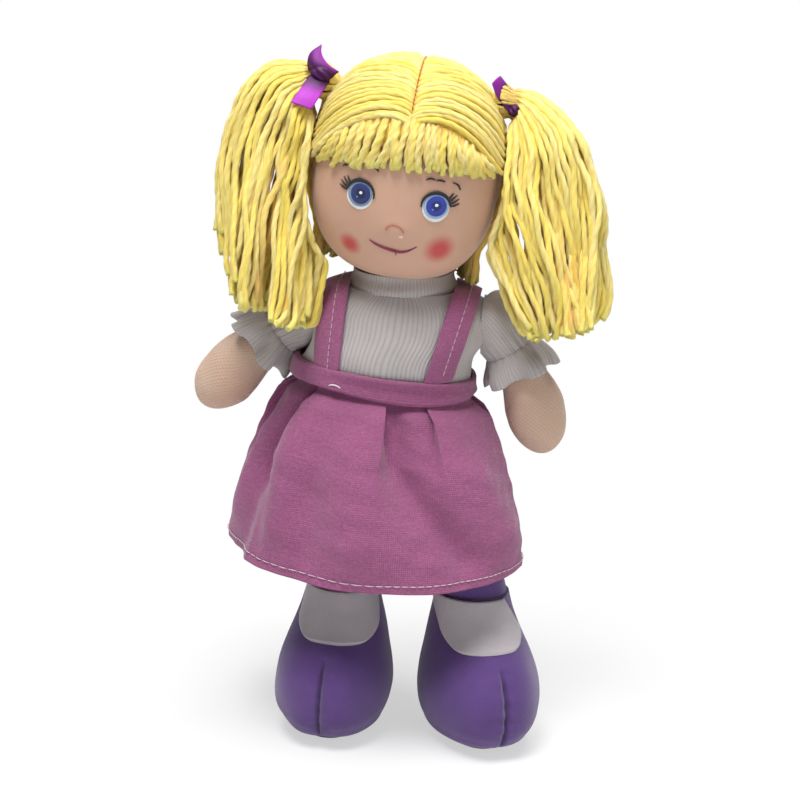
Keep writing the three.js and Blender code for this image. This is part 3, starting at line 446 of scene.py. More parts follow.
def tubes(lines: Array, radii: Array, upright: Array, section: Array) -> Array:
    """Carries a section along lines, square to them: its first direction is the upright one made square to the
    line, and its second the cross product of the two.

    Args:
        lines: (copies, steps, 3).
        radii: Multiply the section, broadcast to (copies, steps).
        upright: A direction, broadcast to lines, that is never along them.
        section: (columns, 2) points about the line, or (copies, steps, columns, 2).

    Returns:
        (copies, steps, columns, 3).
    """
    along = unit(np.gradient(lines, axis=-2))
    up = unit(upright - (upright * along).sum(-1, keepdims=True) * along)
    side = np.cross(along, up)
    across = section[..., :1] * up[..., None, :] + section[..., 1:] * side[..., None, :]
    return lines[..., None, :] + np.asarray(radii)[..., None, None] * across


@dataclass(frozen=True)
class YarnForm:
    """Plied yarn: a section with two lobes that turns once in each pitch."""

    radius: float
    pitch: float
    lobe_share: float
    columns: int = 8
    tip_length: float = 9.0

    def spin(self, lines: Array, upright: Array, seed: int, sizes: Array | float, buried: Array) -> Patch:
        """Makes strands. Their radius at an angle a and a length l is
        size * radius * (1 + lobe_share * cos(2a - 4 pi l / pitch)).

        Args:
            lines: (strands, steps, 3).
            upright: A direction that is never along the lines.
            seed: Of each strand's shade and where its twist starts.
            sizes: Multiply the radius, broadcast to (strands, steps).
            buried: Painted shade where a point lies deep in the bunch, from 0 to 1, broadcast to (strands, steps).

        Returns:
            One patch for all the strands.
        """
        rng = np.random.default_rng(seed)
        strands = len(lines)
        steps = np.linalg.norm(np.diff(lines, axis=-2), axis=-1)
        lengths = np.pad(np.cumsum(steps, -1), ((0, 0), (1, 0)))
        start = rng.uniform(0, 2 * np.pi, (strands, 1))
        turns = 2 * np.pi * lengths / self.pitch + start
        lobes = np.cos(2 * round_angles(self.columns) - 2 * turns[..., None])
        section = circle(self.columns) * (1 + self.lobe_share * lobes)[..., None]
        left = (lengths[:, -1:] - lengths) / self.tip_length
        # groove lays painted shade between the plies, and buried painted shade deep in the bunch
        values = {"tone": rng.uniform(0, 1, (strands, 1, 1)), "tip": np.clip(1 - left, 0, 1)[..., None],
                  "groove": (1 - lobes) / 2, "buried": buried[..., None]}
        pattern = joined(np.arange(self.columns + 1) / self.columns, lengths[..., None] / self.pitch)
        points = tubes(lines, self.radius * np.asarray(sizes), upright, section)
        return Patch(points, sealed=True, pattern=pattern, values=values)


def stitch_patch(lines: Array, out: Array, radius: float, colour: str) -> Patch:
    """Threads, (stitches, steps, 3), that swell in the middle and dive at both ends, out being off the cloth."""
    size = radius * (0.35 + 0.65 * np.sin(np.linspace(0.12, np.pi - 0.12, lines.shape[1])) ** 0.5)
    return Patch(tubes(lines, size, out, circle(6) * np.array([0.7, 1.0])), sealed=True, colour=linear(colour))


def thicken(piece: Piece, thickness: float) -> None:
    """Gives a sheet its thickness in millimetres, inwards from the surface that shows.

    Args:
        piece: The sheet.
        thickness: In millimetres.
    """
    wall = piece.modifiers.new("thickness", "SOLIDIFY")
    wall.thickness = thickness * MM
    wall.offset = -1


def named(piece: Piece, node: str) -> None:
    """Hides the solid that a piece stands for, and logs the piece.

    Args:
        piece: The piece.
        node: The solid it stands for.
    """
    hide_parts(node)
    LOG.info("%s: %d faces for %s", piece.name, len(piece.data.polygons), node)


def add_piece(name: str, patches: list[Patch], material: Material, body: str, node: str,
              thickness: float = 0.0) -> Piece:
    """Makes a piece that rides on one body.

    Args:
        name: The piece's name.
        patches: The grids in it.
        material: Its finish.
        body: What it rides on.
        node: The solid it stands for.
        thickness: Of a sheet, in millimetres.

    Returns:
        The piece.
    """
    piece = mesh_piece(name, patches, material)
    if thickness:
        thicken(piece, thickness)
    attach(piece, body)
    named(piece, node)
    return piece


def add_stuffed(name: str, points: Array, material: Material, body: str, node: str,
                values: dict[str, Array] | None = None) -> None:
    """Makes a padded piece from one sealed grid."""
    piece = add_piece(name, [Patch(points, sealed=True, values=values or {})], material, body, node)


# Finishes


def linear(code: str) -> tuple[float, float, float]:
    """A colour written as six hex digits, as linear light.

    Args:
        code: The digits.

    Returns:
        Red, green and blue from 0 to 1.
    """
    parts = (int(code[i : i + 2], 16) / 255 for i in (0, 2, 4))
    red, green, blue = (c / 12.92 if c <= 0.04045 else ((c + 0.055) / 1.055) ** 2.4 for c in parts)
    return red, green, blue


Feed = Socket | float | tuple[float, ...]


class Wiring:
    """Adds and joins nodes in one node tree."""

    def __init__(self, tree: bpy.types.NodeTree) -> None:
        """Starts on a tree."""
        self.tree = tree

    def node(self, kind: str, feeds: dict[str | int, Feed] | None = None, **settings: object) -> bpy.types.Node:
        """Adds a node.

        Args:
            kind: The node's type.
            feeds: What each input gets: another node's output, a number or a colour.
            settings: Attributes of the node.

        Returns:
            The node.
        """
        made = self.tree.nodes.new(kind)
        for key, value in settings.items():
            setattr(made, key, value)
        for key, value in (feeds or {}).items():
            self.feed(made.inputs[key], value)
        return made

    def feed(self, socket: Socket, value: Feed) -> None:
        """Joins an output to a socket, or sets the socket's own value.

        Args:
            socket: The input.
            value: What it gets.
        """
        if isinstance(value, Socket):
            self.tree.links.new(value, socket)
        elif isinstance(value, tuple) and len(value) == 3 and len(socket.default_value) == 4:
            socket.default_value = (*value, 1.0)
        else:
            socket.default_value = value

    def attribute(self, name: str) -> bpy.types.NodeOutputs:
        """The outputs of one of the mesh's attributes."""
        return self.node("ShaderNodeAttribute", attribute_name=name).outputs

    def math(self, operation: str, *values: Feed) -> Socket:
        """One Math node's result."""
        return self.node("ShaderNodeMath", dict(enumerate(values)), operation=operation).outputs[0]

    def blend(self, share: Feed, first: Feed, second: Feed, kind: str = "MIX") -> Socket:
        """The colour that lies a share of the way from the first to the second, or to their product."""
        feeds = {0: share, 6: first, 7: second}
        return self.node("ShaderNodeMix", feeds, data_type="RGBA", blend_type=kind).outputs[2]

    def ramp(self, value: Feed, low: float, high: float, to_low: float = 0.0, to_high: float = 1.0,
             smooth: bool = False) -> Socket:
        """The value carried from one range to another.

        Args:
            value: What is carried.
            low, high: The range it comes from.
            to_low, to_high: The range it goes to.
            smooth: Eases in and out.

        Returns:
            The result.
        """
        kind = "SMOOTHSTEP" if smooth else "LINEAR"
        feeds = {0: value, 1: low, 2: high, 3: to_low, 4: to_high}
        return self.node("ShaderNodeMapRange", feeds, interpolation_type=kind).outputs[0]

    def noise(self, vector: Feed, scale: Feed, detail: float, rough: float = 0.55) -> Socket:
        """Noise from 0 to 1 at a scale."""
        feeds = {"Vector": vector, "Scale": scale, "Detail": detail, "Roughness": rough}
        return self.node("ShaderNodeTexNoise", feeds).outputs[0]

    def stretched(self, vector: Feed, scale: tuple[float, ...], turn: float = 0.0) -> Socket:
        """A vector with each part multiplied, and turned about Z in degrees."""
        feeds = {"Vector": vector, "Scale": scale, "Rotation": (0.0, 0.0, float(np.radians(turn)))}
        return self.node("ShaderNodeMapping", feeds).outputs[0]


class Effects:
    """Shader node groups that several finishes use. Each is built once."""

    def __init__(self) -> None:
        """Builds the three groups."""
        self.groups = {"weave": self.build_weave(), "knit": self.build_knit(), "wear": self.build_wear()}

    @staticmethod
    def group(name: str, inputs: dict[str, float], outputs: tuple[str, ...]) -> tuple[Wiring, bpy.types.NodeOutputs]:
        """Makes a group with a Vector input and named float sockets, and gives its wiring and what it is given.

        Args:
            name: The group's name.
            inputs: Their names and first values.
            outputs: Their names.

        Returns:
            The group's wiring and the sockets of what it is given.
        """
        tree = bpy.data.node_groups.new(name, "ShaderNodeTree")
        tree.interface.new_socket("Vector", in_out="INPUT", socket_type="NodeSocketVector")
        for key, value in inputs.items():
            tree.interface.new_socket(key, in_out="INPUT", socket_type="NodeSocketFloat").default_value = value
        for key in outputs:
            tree.interface.new_socket(key, in_out="OUTPUT", socket_type="NodeSocketFloat")
        wires = Wiring(tree)
        return wires, wires.node("NodeGroupInput").outputs

    def build_weave(self) -> bpy.types.NodeTree:
        """Plain weave with uneven threads.

        Height is three eighths of the sine across and of the sine along, each from 0 to 1 and shifted by slub
        noise, plus a quarter of fine noise. Shade is 0.7 of the slub noise plus 0.3 of the fine noise.

        Returns:
            The group.
        """
        wires, given = self.group("cloth_weave", {"Warp": 1000.0, "Weft": 1000.0, "Slub": 1.0}, ("Height", "Shade"))
        slub = wires.noise(wires.stretched(given["Vector"], (220.0, 700.0, 220.0)), 1.0, 4.0)
        fine = wires.noise(wires.stretched(given["Vector"], (1500.0, 1500.0, 1500.0)), 1.0, 2.0)
        parts = wires.node("ShaderNodeSeparateXYZ", {0: given["Vector"]}).outputs
        drift = wires.math("MULTIPLY", slub, given["Slub"])
        height = wires.math("MULTIPLY", fine, 0.25)
        for part, spacing in zip(parts[:2], ("Warp", "Weft")):
            phase = wires.math("MULTIPLY_ADD", part, given[spacing], drift)
            thread = wires.ramp(wires.math("SINE", wires.math("MULTIPLY", phase, 2 * np.pi)), -1.0, 1.0)
            height = wires.math("MULTIPLY_ADD", thread, 0.375, height)
        shade = wires.math("MULTIPLY_ADD", slub, 0.7, wires.math("MULTIPLY", fine, 0.3))
        wires.node("NodeGroupOutput", {"Height": height, "Shade": shade})
        return wires.tree

    def build_knit(self) -> bpy.types.NodeTree:
        """Rows of V stitches.

        With x in wales and y in courses, a stitch is the absolute sine of pi x times the sine of two pi
        (y + |fraction of x - 1/2|) carried to 0.25 to 1. Shade is that, and Height adds 0.3 of fine noise.

        Returns:
            The group.
        """
        wires, given = self.group("cloth_knit", {"Wales": 500.0, "Courses": 600.0}, ("Height", "Shade"))
        parts = wires.node("ShaderNodeSeparateXYZ", {0: given["Vector"]}).outputs
        wobble = wires.math("MULTIPLY", wires.noise(given["Vector"], 90.0, 2.0), 0.6)
        x = wires.math("MULTIPLY_ADD", parts[0], given["Wales"], wobble)
        y = wires.math("MULTIPLY_ADD", parts[1], given["Courses"], wobble)
        ridge = wires.math("ABSOLUTE", wires.math("SINE", wires.math("MULTIPLY", x, np.pi)))
        lean = wires.math("ABSOLUTE", wires.math("SUBTRACT", wires.math("FRACT", x), 0.5))
        stitch = wires.math("SINE", wires.math("MULTIPLY", wires.math("ADD", y, lean), 2 * np.pi))
        shade = wires.math("MULTIPLY", ridge, wires.ramp(stitch, -1.0, 1.0, 0.25, 1.0))
        fine = wires.noise(given["Vector"], 2500.0, 2.0)
        wires.node("NodeGroupOutput", {"Height": wires.math("MULTIPLY_ADD", fine, 0.3, shade), "Shade": shade})
        return wires.tree

    def build_wear(self) -> bpy.types.NodeTree:
        """Slow unevenness: Mask is broad noise and Fuzz fine noise, each from 0 to 1.

        Returns:
            The group.
        """
        wires, given = self.group("cloth_wear", {"Scale": 40.0}, ("Mask", "Fuzz"))
        mask = wires.ramp(wires.noise(given["Vector"], given["Scale"], 3.0), 0.3, 0.7)
        wires.node("NodeGroupOutput", {"Mask": mask, "Fuzz": wires.noise(given["Vector"], 2200.0, 3.0, 0.7)})
        return wires.tree

    def use(self, wires: Wiring, name: str, *feeds: Feed) -> dict[str, Socket]:
        """Places a group in a material, with its inputs in order, and gives its outputs by name.

        Args:
            wires: The material's wiring.
            name: The effect.
            feeds: What its inputs get.

        Returns:
            Its outputs by name.
        """
        made = wires.node("ShaderNodeGroup", node_tree=self.groups[name])
        for socket, value in zip(made.inputs, feeds):
            wires.feed(socket, value)
        return {socket.name: socket for socket in made.outputs}


@dataclass(frozen=True)
class Shade:
    """A colour laid over the last one, or multiplying it.

    Attributes:
        colour: Six hex digits.
        source: What gives its share: an output of the finish's sources, or else an attribute of the mesh.
        low, high, first, last: The source's low and high become the shares first and last.
        smooth: The share eases in and out.
        spot: The source is the distance from this place, in metres, a little uneven.
        multiplies: The colour multiplies the last one.
    """

    colour: str
    source: str
    low: float = 0.0
    high: float = 1.0
    first: float = 0.0
    last: float = 1.0
    smooth: bool = False
    spot: tuple[float, ...] = ()
    multiplies: bool = False


@dataclass(frozen=True)
class Finish:
    """A cloth: a colour, shades laid over it in turn, and a bump.

    Attributes:
        name: The material's.
        colour: Six hex digits, or nothing where the mesh carries the colour.
        surface: Roughness, sheen and specular level.
        depth: Of a height of 1, in metres.
        shades: In the order they are laid.
        effect, threads: The group that gives Height and Shade, and its values after the Vector.
        slant: Degrees by which its threads are turned.
        wear: Scale of the slow unevenness, or 0 for none.
        fibres: Stretch and turn of the cloth's places, then the noise's scale, detail and roughness.
        strength: The bump's.
    """

    name: str
    colour: str
    surface: tuple[float, float, float]
    depth: float
    shades: tuple[Shade, ...]
    effect: str = ""
    threads: tuple[float, ...] = ()
    slant: float = 0.0
    wear: float = 0.0
    fibres: tuple[tuple[float, ...], float, float, float, float] | None = None
    strength: float = 1.0

    def sources(self, wires: Wiring, effects: Effects) -> dict[str, Socket]:
        """Places what the finish draws on, and gives the outputs by name.

        Args:
            wires: The material's wiring.
            effects: The node groups.

        Returns:
            Outputs by name.
        """
        place = wires.node("ShaderNodeTexCoord").outputs
        found = {"Object": place["Object"]}
        if self.wear:
            found |= effects.use(wires, "wear", place["Object"], self.wear)
        if self.effect:
            laid = wires.stretched(place["UV"], (1.0, 1.0, 1.0), self.slant)
            found |= effects.use(wires, self.effect, laid, *self.threads)
        if self.fibres:
            stretch, turn, *noise = self.fibres
            found["Fibres"] = wires.noise(wires.stretched(place["UV"], stretch, turn), *noise)
        return found

    def material(self, effects: Effects) -> Material:
        """Makes the material: the values that are the same all over, the colour with its shades, and the bump.

        Args:
            effects: The node groups.

        Returns:
            The material.
        """
        material = bpy.data.materials.new(self.name)
        material.use_nodes = True
        wires = Wiring(material.node_tree)
        shader = wires.tree.nodes["Principled BSDF"].inputs
        roughness, sheen, specular = self.surface
        for key, value in (("Roughness", roughness), ("Sheen Weight", sheen), ("Sheen Roughness", 0.5),
                           ("Specular IOR Level", specular)):
            shader[key].default_value = value
        found = self.sources(wires, effects)
        colour = linear(self.colour) if self.colour else wires.attribute("thread")["Color"]
        for shade in self.shades:
            if shade.spot:
                feeds = {0: found["Object"], 1: shade.spot}
                away = wires.node("ShaderNodeVectorMath", feeds, operation="DISTANCE").outputs["Value"]
                source = wires.math("MULTIPLY_ADD", found["Fuzz"], 0.0008, away)
            elif shade.source in found:
                source = found[shade.source]
            else:
                source = wires.attribute(shade.source)["Fac"]
            share = wires.ramp(source, shade.low, shade.high, shade.first, shade.last, shade.smooth)
            colour = wires.blend(share, colour, linear(shade.colour), "MULTIPLY" if shade.multiplies else "MIX")
        height = found["Height"] if self.effect else found["Fibres"]
        bump = wires.node("ShaderNodeBump", {"Height": height, "Distance": self.depth, "Strength": self.strength})
        wires.feed(shader["Base Color"], colour)
        wires.feed(shader["Normal"], bump.outputs[0])
        return material


def rib_knit(name: str, colour: str, dark: str) -> Finish:
    """Rib-knit jersey: fine stitches, with painted shade between the ribs, which are in the mesh.

    Args:
        name: The material's name.
        colour: Of the ribs.
        dark: Laid over in slow uneven patches, and as painted shade between the ribs.

    Returns:
        The finish.
    """
    return Finish(name, colour, (0.92, 0.2, 0.15), 0.0002,
                  # The rib attribute lays painted shade in the hollows between the ribs
                  (Shade(dark, "Mask", last=0.25), Shade(dark, "rib", first=0.45, last=0.0)),
                  "knit", (1000.0, 900.0), wear=50.0, strength=0.7)


# Slubby linen whose dye is uneven, its slubs paler and its flecks darker, with painted shade in the weave's hollows
LINEN_CLOTH = Finish("mauve_linen", "A55D88", (0.85, 0.25, 0.25), 0.00025,
                     (Shade("783F62", "Mask", last=0.35), Shade("C08CAA", "Shade", 0.45, 0.75, 0.0, 0.3),
                      Shade("783F62", "Fibres", 0.4, 0.62, 0.38, 0.0), Shade("783F62", "Height", 0.1, 0.6, 0.6, 0.0)),
                     "weave", (960.0, 960.0, 0.8), wear=28.0, fibres=((1.0, 1.0, 1.0), 0.0, 620.0, 2.0, 0.7))
SHIRT_KNIT = rib_knit("white_rib_knit", "C0BABA", "8C8685")
INSTEP_KNIT = rib_knit("grey_instep_knit", "C0BABE", "989297")
# Skin-coloured knit of the arms and body, its stitches turned a little, with painted shade between them
ARM_KNIT = Finish("peach_knit", "D0B6A2", (0.9, 0.25, 0.15), 0.0002,
                  (Shade("CDA08A", "Mask", last=0.4), Shade("B3937E", "Shade", 0.0, 0.6, 0.45, 0.0)),
                  "knit", (700.0, 620.0), slant=28.0, wear=45.0)
# Close-napped cloth of legs and shoes, paler where it is brushed, with painted shade in the toe's dart
PURPLE_CLOTH = Finish("purple_cloth", "533874", (0.8, 0.35, 0.2), 0.00012,
                      (Shade("6C4E8E", "Mask", last=0.45), Shade("38224F", "Fuzz", 0.35, 0.6, 0.3, 0.0),
                       Shade("38224F", "seam", 0.1, 1.0, 0.0, 0.8)), "knit", (1100.0, 1200.0), wear=30.0)
# Smooth cloth of the head. The face adds its rouge.
FACE_SATIN = Finish("peach_satin", "CCA58E", (0.55, 0.15, 0.3), 0.00005, (Shade("BE8F78", "Mask", last=0.5),),
                    "weave", (2200.0, 2200.0, 0.3), wear=22.0)
# Acrylic yarn with painted shade, orange, in its grooves and deep in a bunch, greener at its cut ends, its fibres
# slanting round it
YELLOW_YARN = Finish("yellow_yarn", "FFEB68", (0.8, 0.3, 0.15), 0.0007,
                     (Shade("FFF5A6", "tone"), Shade("F8CC58", "Fuzz", 0.35, 0.65, 0.3, 0.0),
                      Shade("F8CC58", "groove", 0.3, 1.0, 0.0, 0.42), Shade("E59A28", "buried"),
                      Shade("E2DA70", "tip", last=0.75, smooth=True)),
                     wear=120.0, fibres=((9.0, 2.5, 1.0), 35.0, 4.0, 3.0, 0.6))
# Glossy ribbon with a woven rib across, with painted shade in its folds: the knot, the turn and the ends near the knot
RIBBON_SATIN = Finish("purple_satin", "B62CC4", (0.42, 0.0, 0.25), 0.00006,
                      (Shade("26032E", "Mask", last=0.4), Shade("26032E", "shade", 0.0, 0.8, 0.0, 0.92)),
                      "weave", (2600.0, 1500.0, 0.2), wear=90.0)
# Embroidery and sewing thread whose colour the mesh carries, with painted shade, a little blue, between its slanting
# stitches
SEWN_THREAD = Finish("sewn_thread", "", (0.45, 0.1, 0.4), 0.0001,
                     (Shade("C4C4CB", "Height", 0.1, 0.5, 0.5, 0.0, multiplies=True),),
                     "weave", (200.0, 2600.0, 0.4), slant=40.0)


# The doll's forms, as the solids have them


@dataclass(frozen=True)
class TorsoForm:
    """The stuffed torso under the clothes. Widths and depths are full sizes, and lean is towards the doll's right."""

    width: float = 90.0
    depth: float = 74.0
    power: float = 2.3
    rows: tuple[tuple[float, ...], ...] = (
        (0, 0.8, 0.02, 0.4), (0.06, 0.83, 0.08, 0.5), (0.13, 0.88, 0.25, 0.6), (0.27, 0.95, 0.58, 0.85),
        (0.4, 1, 0.9, 1), (0.56, 1, 1, 0.85), (0.74, 1.09, 0.94, 0.22), (0.88, 1.06, 0.84, 0.08),
        (0.96, 0.9, 0.75, 0), (1, 0.72, 0.7, 0))
    armhole_radius: float = 26.0
    heart_height: float = 218.0

    def sizes(self, z: Array, lift: float) -> tuple[Array, Array, Array]:
        """Middle x, half width and half depth at a height, each side further out by the lift.

        Args:
            z: The heights.
            lift: How far out of the form, in millimetres.

        Returns:
            Middle x, half width and half depth.
        """
        share = np.clip((z - HIP_HEIGHT + lift) / (TORSO_LENGTH + 2 * lift), 0, 1)
        width, depth, lean = np.moveaxis(read_table(self.rows, share), -1, 0)
        return -lean * WAIST_SHIFT, width * self.width / 2 + lift, np.maximum(depth * self.depth / 2 + lift, 0.5)

    def around(self, angle: Array, z: Array, lift: Array | float) -> Array:
        """The point at an angle from +X and a height, on the level superellipse there.

        Args:
            angle: From +X, in radians.
            z: The heights.
            lift: How far out of the form, in millimetres.

        Returns:
            Points in the doll's frame.
        """
        middle, half_width, half_depth = self.sizes(z, 0.0)
        u, v = superellipse(angle, self.power)
        return joined(middle + u * (half_width + lift), v * (half_depth + lift), z)

    def holds(self, points: Array, lift: float) -> Array:
        """Whether each point lies in the form, when it is further out by the lift.

        Args:
            points: Points in the doll's frame.
            lift: How far out of the form, in millimetres.

        Returns:
            True for each point inside.
        """
        x, y, z = np.moveaxis(points, -1, 0)
        middle, half_width, half_depth = self.sizes(z, lift)
        inside = np.abs((x - middle) / half_width) ** self.power + np.abs(y / half_depth) ** self.power < 1
        return inside & (z < NECK_SEAT + lift)

    def reach(self, x_at: Callable[[Array], Array], angle: Array, lift: float) -> Array:
        """Points on the form in slices along its depth, found by halving the distance 26 times.

        Args:
            x_at: Gives x for a height.
            angle: From -Y up over the shoulder, in radians, round the heart's height.
            lift: How far out of the form the points lie.

        Returns:
            One point for each angle.
        """
        low, high = np.zeros_like(angle), np.full_like(angle, 90.0)
        for _ in range(26):
            half = (low + high) / 2
            z = self.heart_height + half * np.sin(angle)
            inside = self.holds(joined(x_at(z), -half * np.cos(angle), z), lift)
            low, high = np.where(inside, half, low), np.where(inside, high, half)
        z = self.heart_height + low * np.sin(angle)
        return joined(x_at(z), -low * np.cos(angle), z)

    def beside_arms(self, points: Array, inset: float = 0.0) -> Array:
        """Flattens what bulges past the flat shoulder seams, within the round armholes.

        Args:
            points: Points in the doll's frame.
            inset: How far inside the seams they end, in millimetres.

        Returns:
            The flattened points.
        """
        x, y, z = np.moveaxis(points, -1, 0)
        for sizes in BOTH_SIDES:
            sign = sizes.side.value
            away = np.hypot(y, z - SHOULDER_HEIGHT - sizes.shoulder_rise)
            room = 1 - ease(self.armhole_radius - 1.5, self.armhole_radius + 0.5, away)
            flat = np.minimum(sign * x, SHOULDER_HALF_WIDTH - inset) * sign
            x = np.where(sign * x > 0, mix(x, flat, room), x)
        return joined(x, y, z)


@dataclass(frozen=True)
class HeadForm:
    """The stuffed head: level superellipses whose lower half is squarer than its crown."""

    half_width: float = 49.0
    half_depth: float = 47.0
    half_height: float = 56.0
    face_power: float = 2.2
    chin_power: float = 2.6
    crown_power: float = 2.25

    def at(self, angle: Array, latitude: Array, lift: Array | float = 0.0) -> Array:
        """The point at an angle from +X and a latitude, in the head's frame.

        Args:
            angle: From +X, in radians.
            latitude: From level, in radians.
            lift: How far out of the form, in millimetres.

        Returns:
            Points in the head's frame.
        """
        power = np.where(latitude < 0, self.chin_power, self.crown_power)
        c, s = np.cos(latitude), np.sin(latitude)
        reach, rise = np.abs(c) ** (2 / power), np.sign(s) * np.abs(s) ** (2 / power)
        u, v = superellipse(angle, self.face_power)
        return joined(reach * u * (self.half_width + lift), reach * v * (self.half_depth + lift),
                      rise * (self.half_height + lift))

    def towards(self, ways: Array, lift: Array | float = 0.0) -> Array:
        """Where directions from the middle meet the surface: each divided by its size in the form's own measure,
        the q-th root of (|x/a|^p + |y/b|^p)^(q/p) + |z/c|^q, the half sizes a, b, c being larger by the lift.

        Args:
            ways: Directions from the head's middle.
            lift: How far out of the form, in millimetres.

        Returns:
            Points in the head's frame.
        """
        x, y, z = np.moveaxis(ways, -1, 0)
        q = np.where(z < 0, self.chin_power, self.crown_power)
        p = self.face_power
        level = np.abs(x / (self.half_width + lift)) ** p + np.abs(y / (self.half_depth + lift)) ** p
        measure = (level ** (q / p) + np.abs(z / (self.half_height + lift)) ** q) ** (1 / q)
        return ways / measure[..., None]

    def front(self, x: Array, z: Array, lift: Array | float = 0.0) -> Array:
        """The point of the face at x and z of a front view.

        Args:
            x: To the doll's left.
            z: Upwards.
            lift: How far out of the form, in millimetres.

        Returns:
            Points in the head's frame.
        """
        q = np.where(z < 0, self.chin_power, self.crown_power)
        p = self.face_power
        left = 1 - np.abs(z / (self.half_height + lift)) ** q
        level = np.clip(left, 0, 1) ** (p / q) - np.abs(x / (self.half_width + lift)) ** p
        y = -(self.half_depth + lift) * np.clip(level, 0, 1) ** (1 / p)
        return joined(x, y, z)


TORSO = TorsoForm()
HEAD = HeadForm()


@dataclass(frozen=True)
class ArmPath:
    """The line of an arm in front view: its heading from straight down turns evenly from first to last."""

    sizes: SideSizes
    start_out: float = SHOULDER_HALF_WIDTH + SEAM_GAP + 0.8

    def at(self, share: Array) -> tuple[Array, Array, Array]:
        """Place, outward direction and downward direction at a share of the arm.

        The place is the sum of the headings so far: (cos h0 - cos h) / (h1 - h0) of the length sideways and
        (sin h - sin h0) / (h1 - h0) of it downwards.

        Args:
            share: Of the arm's length.

        Returns:
            The place and the two directions.
        """
        first, last = np.radians(self.sizes.arm_headings)
        h = mix(first, last, np.asarray(share, float))
        sign = self.sizes.side.value
        x = sign * (self.start_out + ARM_LENGTH * (np.cos(first) - np.cos(h)) / (last - first))
        z = SHOULDER_HEIGHT + self.sizes.shoulder_rise - ARM_LENGTH * (np.sin(h) - np.sin(first)) / (last - first)
        return (joined(x, 0.0, z), joined(sign * np.cos(h), 0.0, np.sin(h)),
                joined(sign * np.sin(h), 0.0, -np.cos(h)))


# Sub-assemblies


@dataclass
class Body:
    """The stuffed torso, its neck and the roll of cloth at the hips."""

    columns: int = 96
    rows: int = 60
    neck_radius: float = 17.0
    neck_top: float = 266.0
    hip_roll_radius: float = 2.5
    hip_roll_half_length: float = 38.0

    def build(self, fabric: Material, purple: Material) -> None:
        """Makes the three pieces. All but the neck's front are under the clothes.

        Args:
            fabric: Finish of torso and neck.
            purple: Finish of the hips.
        """
        angle = round_angles(self.columns)
        z = mix(HIP_HEIGHT + 0.4, NECK_SEAT, shares(self.rows))[:, None]
        form = TORSO.beside_arms(TORSO.around(angle[None, :], z, -0.2), 2.2)
        add_stuffed("stuffed_torso", form, fabric, "torso", "torso")
        share = shares(24)[:, None]
        radius = self.neck_radius * (1 + 0.12 * (2 * share - 1) ** 2)
        height = mix(NECK_SEAT + SEAM_GAP, self.neck_top, share)
        ring = joined(radius * np.cos(angle), radius * np.sin(angle) - 3 * share, height)
        add_stuffed("stuffed_neck", ring, fabric, "neck", "neck")
        around = np.linspace(-1, 1, 40)
        line = joined(around * self.hip_roll_half_length, 0.0, HIP_HEIGHT)[None]
        radii = np.maximum(self.hip_roll_radius * (1 - np.abs(around) ** 12) ** 0.5, 0.3)
        roll = tubes(line, radii, UP, circle(20))
        add_stuffed("hip_roll", roll, purple, "hips", "hip_seam")


